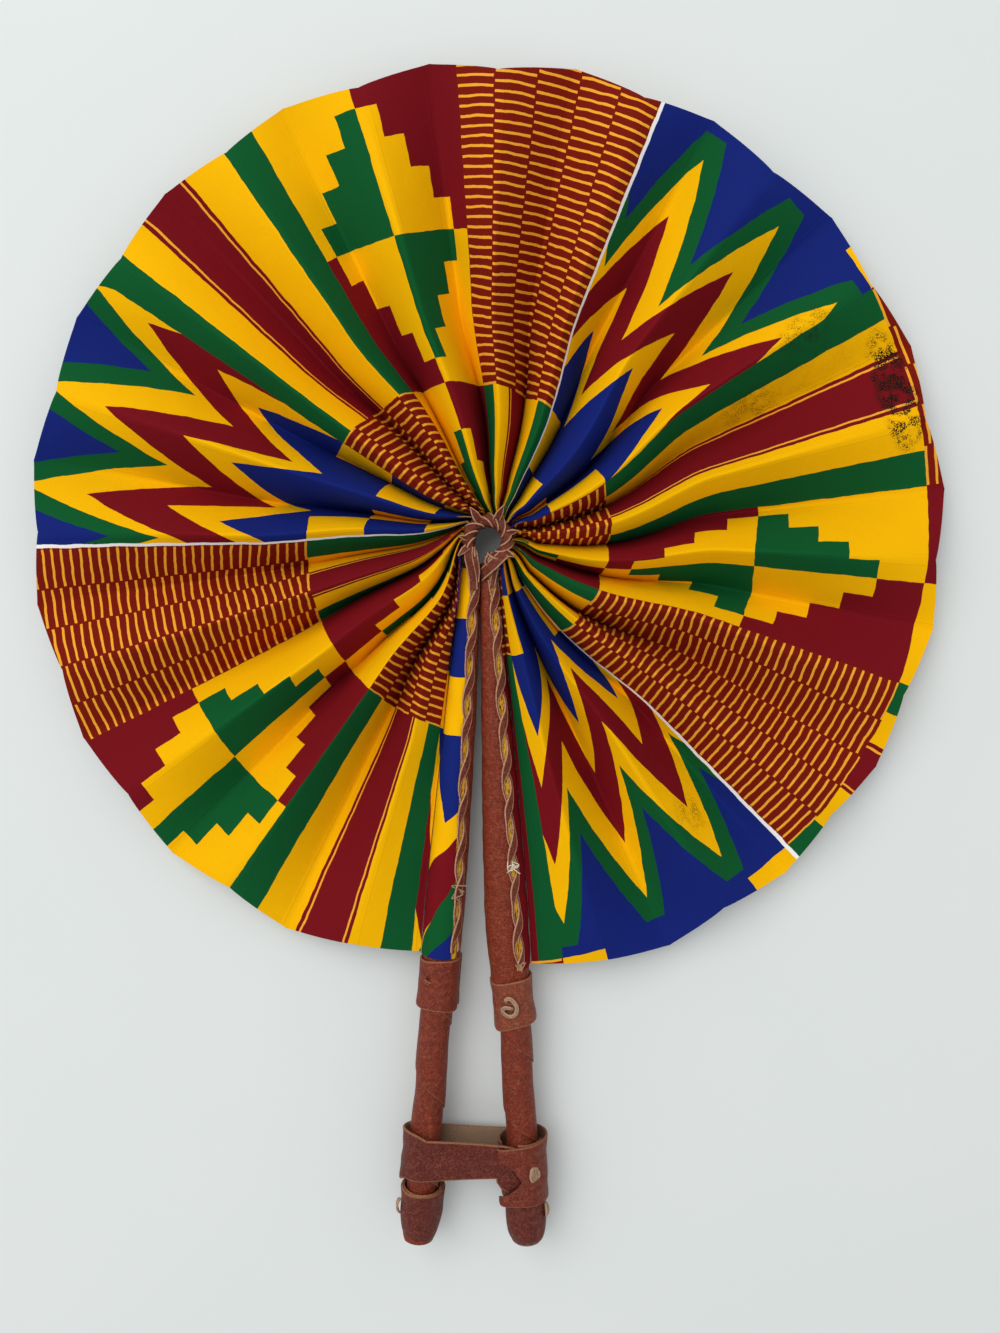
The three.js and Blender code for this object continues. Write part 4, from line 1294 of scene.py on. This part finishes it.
for number, (base, tip, width) in enumerate(STAR):
    turn = (math.atan2(base[1], base[0]) - HUB_ARC[0]) % (2 * math.pi) + HUB_ARC[0]
    hub_piece(f"hub_thong_end_{number + 1}", [thong_end(base, tip, width)], leaf_body(turn))
for stick in (RIGHT, LEFT):
    paths = [smooth_path(bends, 10) for bends, _ in stick.bridges]
    grids = [strip(path, np.broadcast_to([0.0, 0.25, 1.0], path.shape), width, HUB_THONG, faces=3, rim=0.25)
             for path, (_, width) in zip(paths, stick.bridges)]
    hub_piece(f"{stick.name}_hub_bridge", grids, stick.body)
print("thong ends:", len(STAR), "runs to the sticks:", len(RIGHT.bridges) + len(LEFT.bridges))

# %% [markdown]
# ## Floor, light and camera
# The fan lies on a pale floor in soft light that comes from the upper left. The camera looks down on it
# at the photograph's angle, a little from below the hub. One broad lamp is enough, as more of them would
# wash out the shading that shows the pleats. World light and lamp together add up to about one, so that
# colours come out as they are written.

# %% Floor
FLOOR_REACH = np.array([-3000.0, 3000.0])
FLOOR_LEVEL = -HUB[2] - 0.05  # just under the fan
floor_points = spread(FLOOR_REACH[None], FLOOR_REACH[:, None], FLOOR_LEVEL)
floor_look = Finish("pale_floor", {"Specular IOR Level": 0.1})
haze = floor_look.noise(0.006, 3.0)
floor_look.feed("Base Color", floor_look.mix(haze, linear(224, 229, 226), linear(231, 234, 232)))
floor_look.feed("Roughness", 0.85 + 0.1 * haze)
grid = patch(floor_points, floor_points[..., :2], turn=True)
floor_mesh = bpy.data.meshes.new("floor")
floor_mesh.from_pydata(((grid[0] + HUB) * MM).tolist(), [], grid[1])
floor_mesh.materials.append(floor_look.material)
floor = bpy.data.objects.new("floor", floor_mesh)
bpy.context.scene.collection.objects.link(floor)
print("floor at", floor_mesh.vertices[0].co.z)


# %% Light
def soft_lamp(name, spot, size, power):
    """A square area lamp at a spot in millimetres from the hub, aimed at the hub."""
    lamp = bpy.data.lights.new(name, "AREA")
    lamp.size, lamp.energy = size, power
    made = bpy.data.objects.new(name, lamp)
    position = Vector(((np.array(spot) + HUB) * MM).tolist())
    aim = Vector((HUB * MM).tolist()) - position
    made.matrix_world = Matrix.Translation(position) @ aim.to_track_quat("-Z", "Y").to_matrix().to_4x4()
    bpy.context.scene.collection.objects.link(made)
    return made


key = soft_lamp("window_light", spot=(-1000, 1090, 2090), size=2.2, power=40.0)
world = bpy.data.worlds.new("room")
world.use_nodes = True
background = world.node_tree.nodes["Background"].inputs
background["Color"].default_value = (0.96, 0.98, 1.0, 1.0)
background["Strength"].default_value = 0.6
bpy.context.scene.world = world
bpy.context.scene.view_settings.view_transform = "Standard"
print("lamp power", key.data.energy)

# %% Camera
CAMERA_SPOT = np.array([3.41, -7.80, 451.47])  # from the hub
pitch, yaw = math.radians(-5.571), math.radians(-0.18)
SENSOR = 36  # mm
PHOTO_HEIGHT, FOCAL_LENGTH = 1333, 1100  # the photograph's, in pixels
camera_data = bpy.data.cameras.new("camera")
camera_data.lens = SENSOR * FOCAL_LENGTH / PHOTO_HEIGHT
camera = bpy.data.objects.new("camera", camera_data)
turned = Matrix.Rotation(yaw, 4, "Y") @ Matrix.Rotation(pitch, 4, "X")
camera.matrix_world = Matrix.Translation(Vector(((CAMERA_SPOT + HUB) * MM).tolist())) @ turned
camera_data.clip_start = 0.01
bpy.context.scene.collection.objects.link(camera)
bpy.context.scene.camera = camera
print("lens", round(camera_data.lens, 2), "mm")
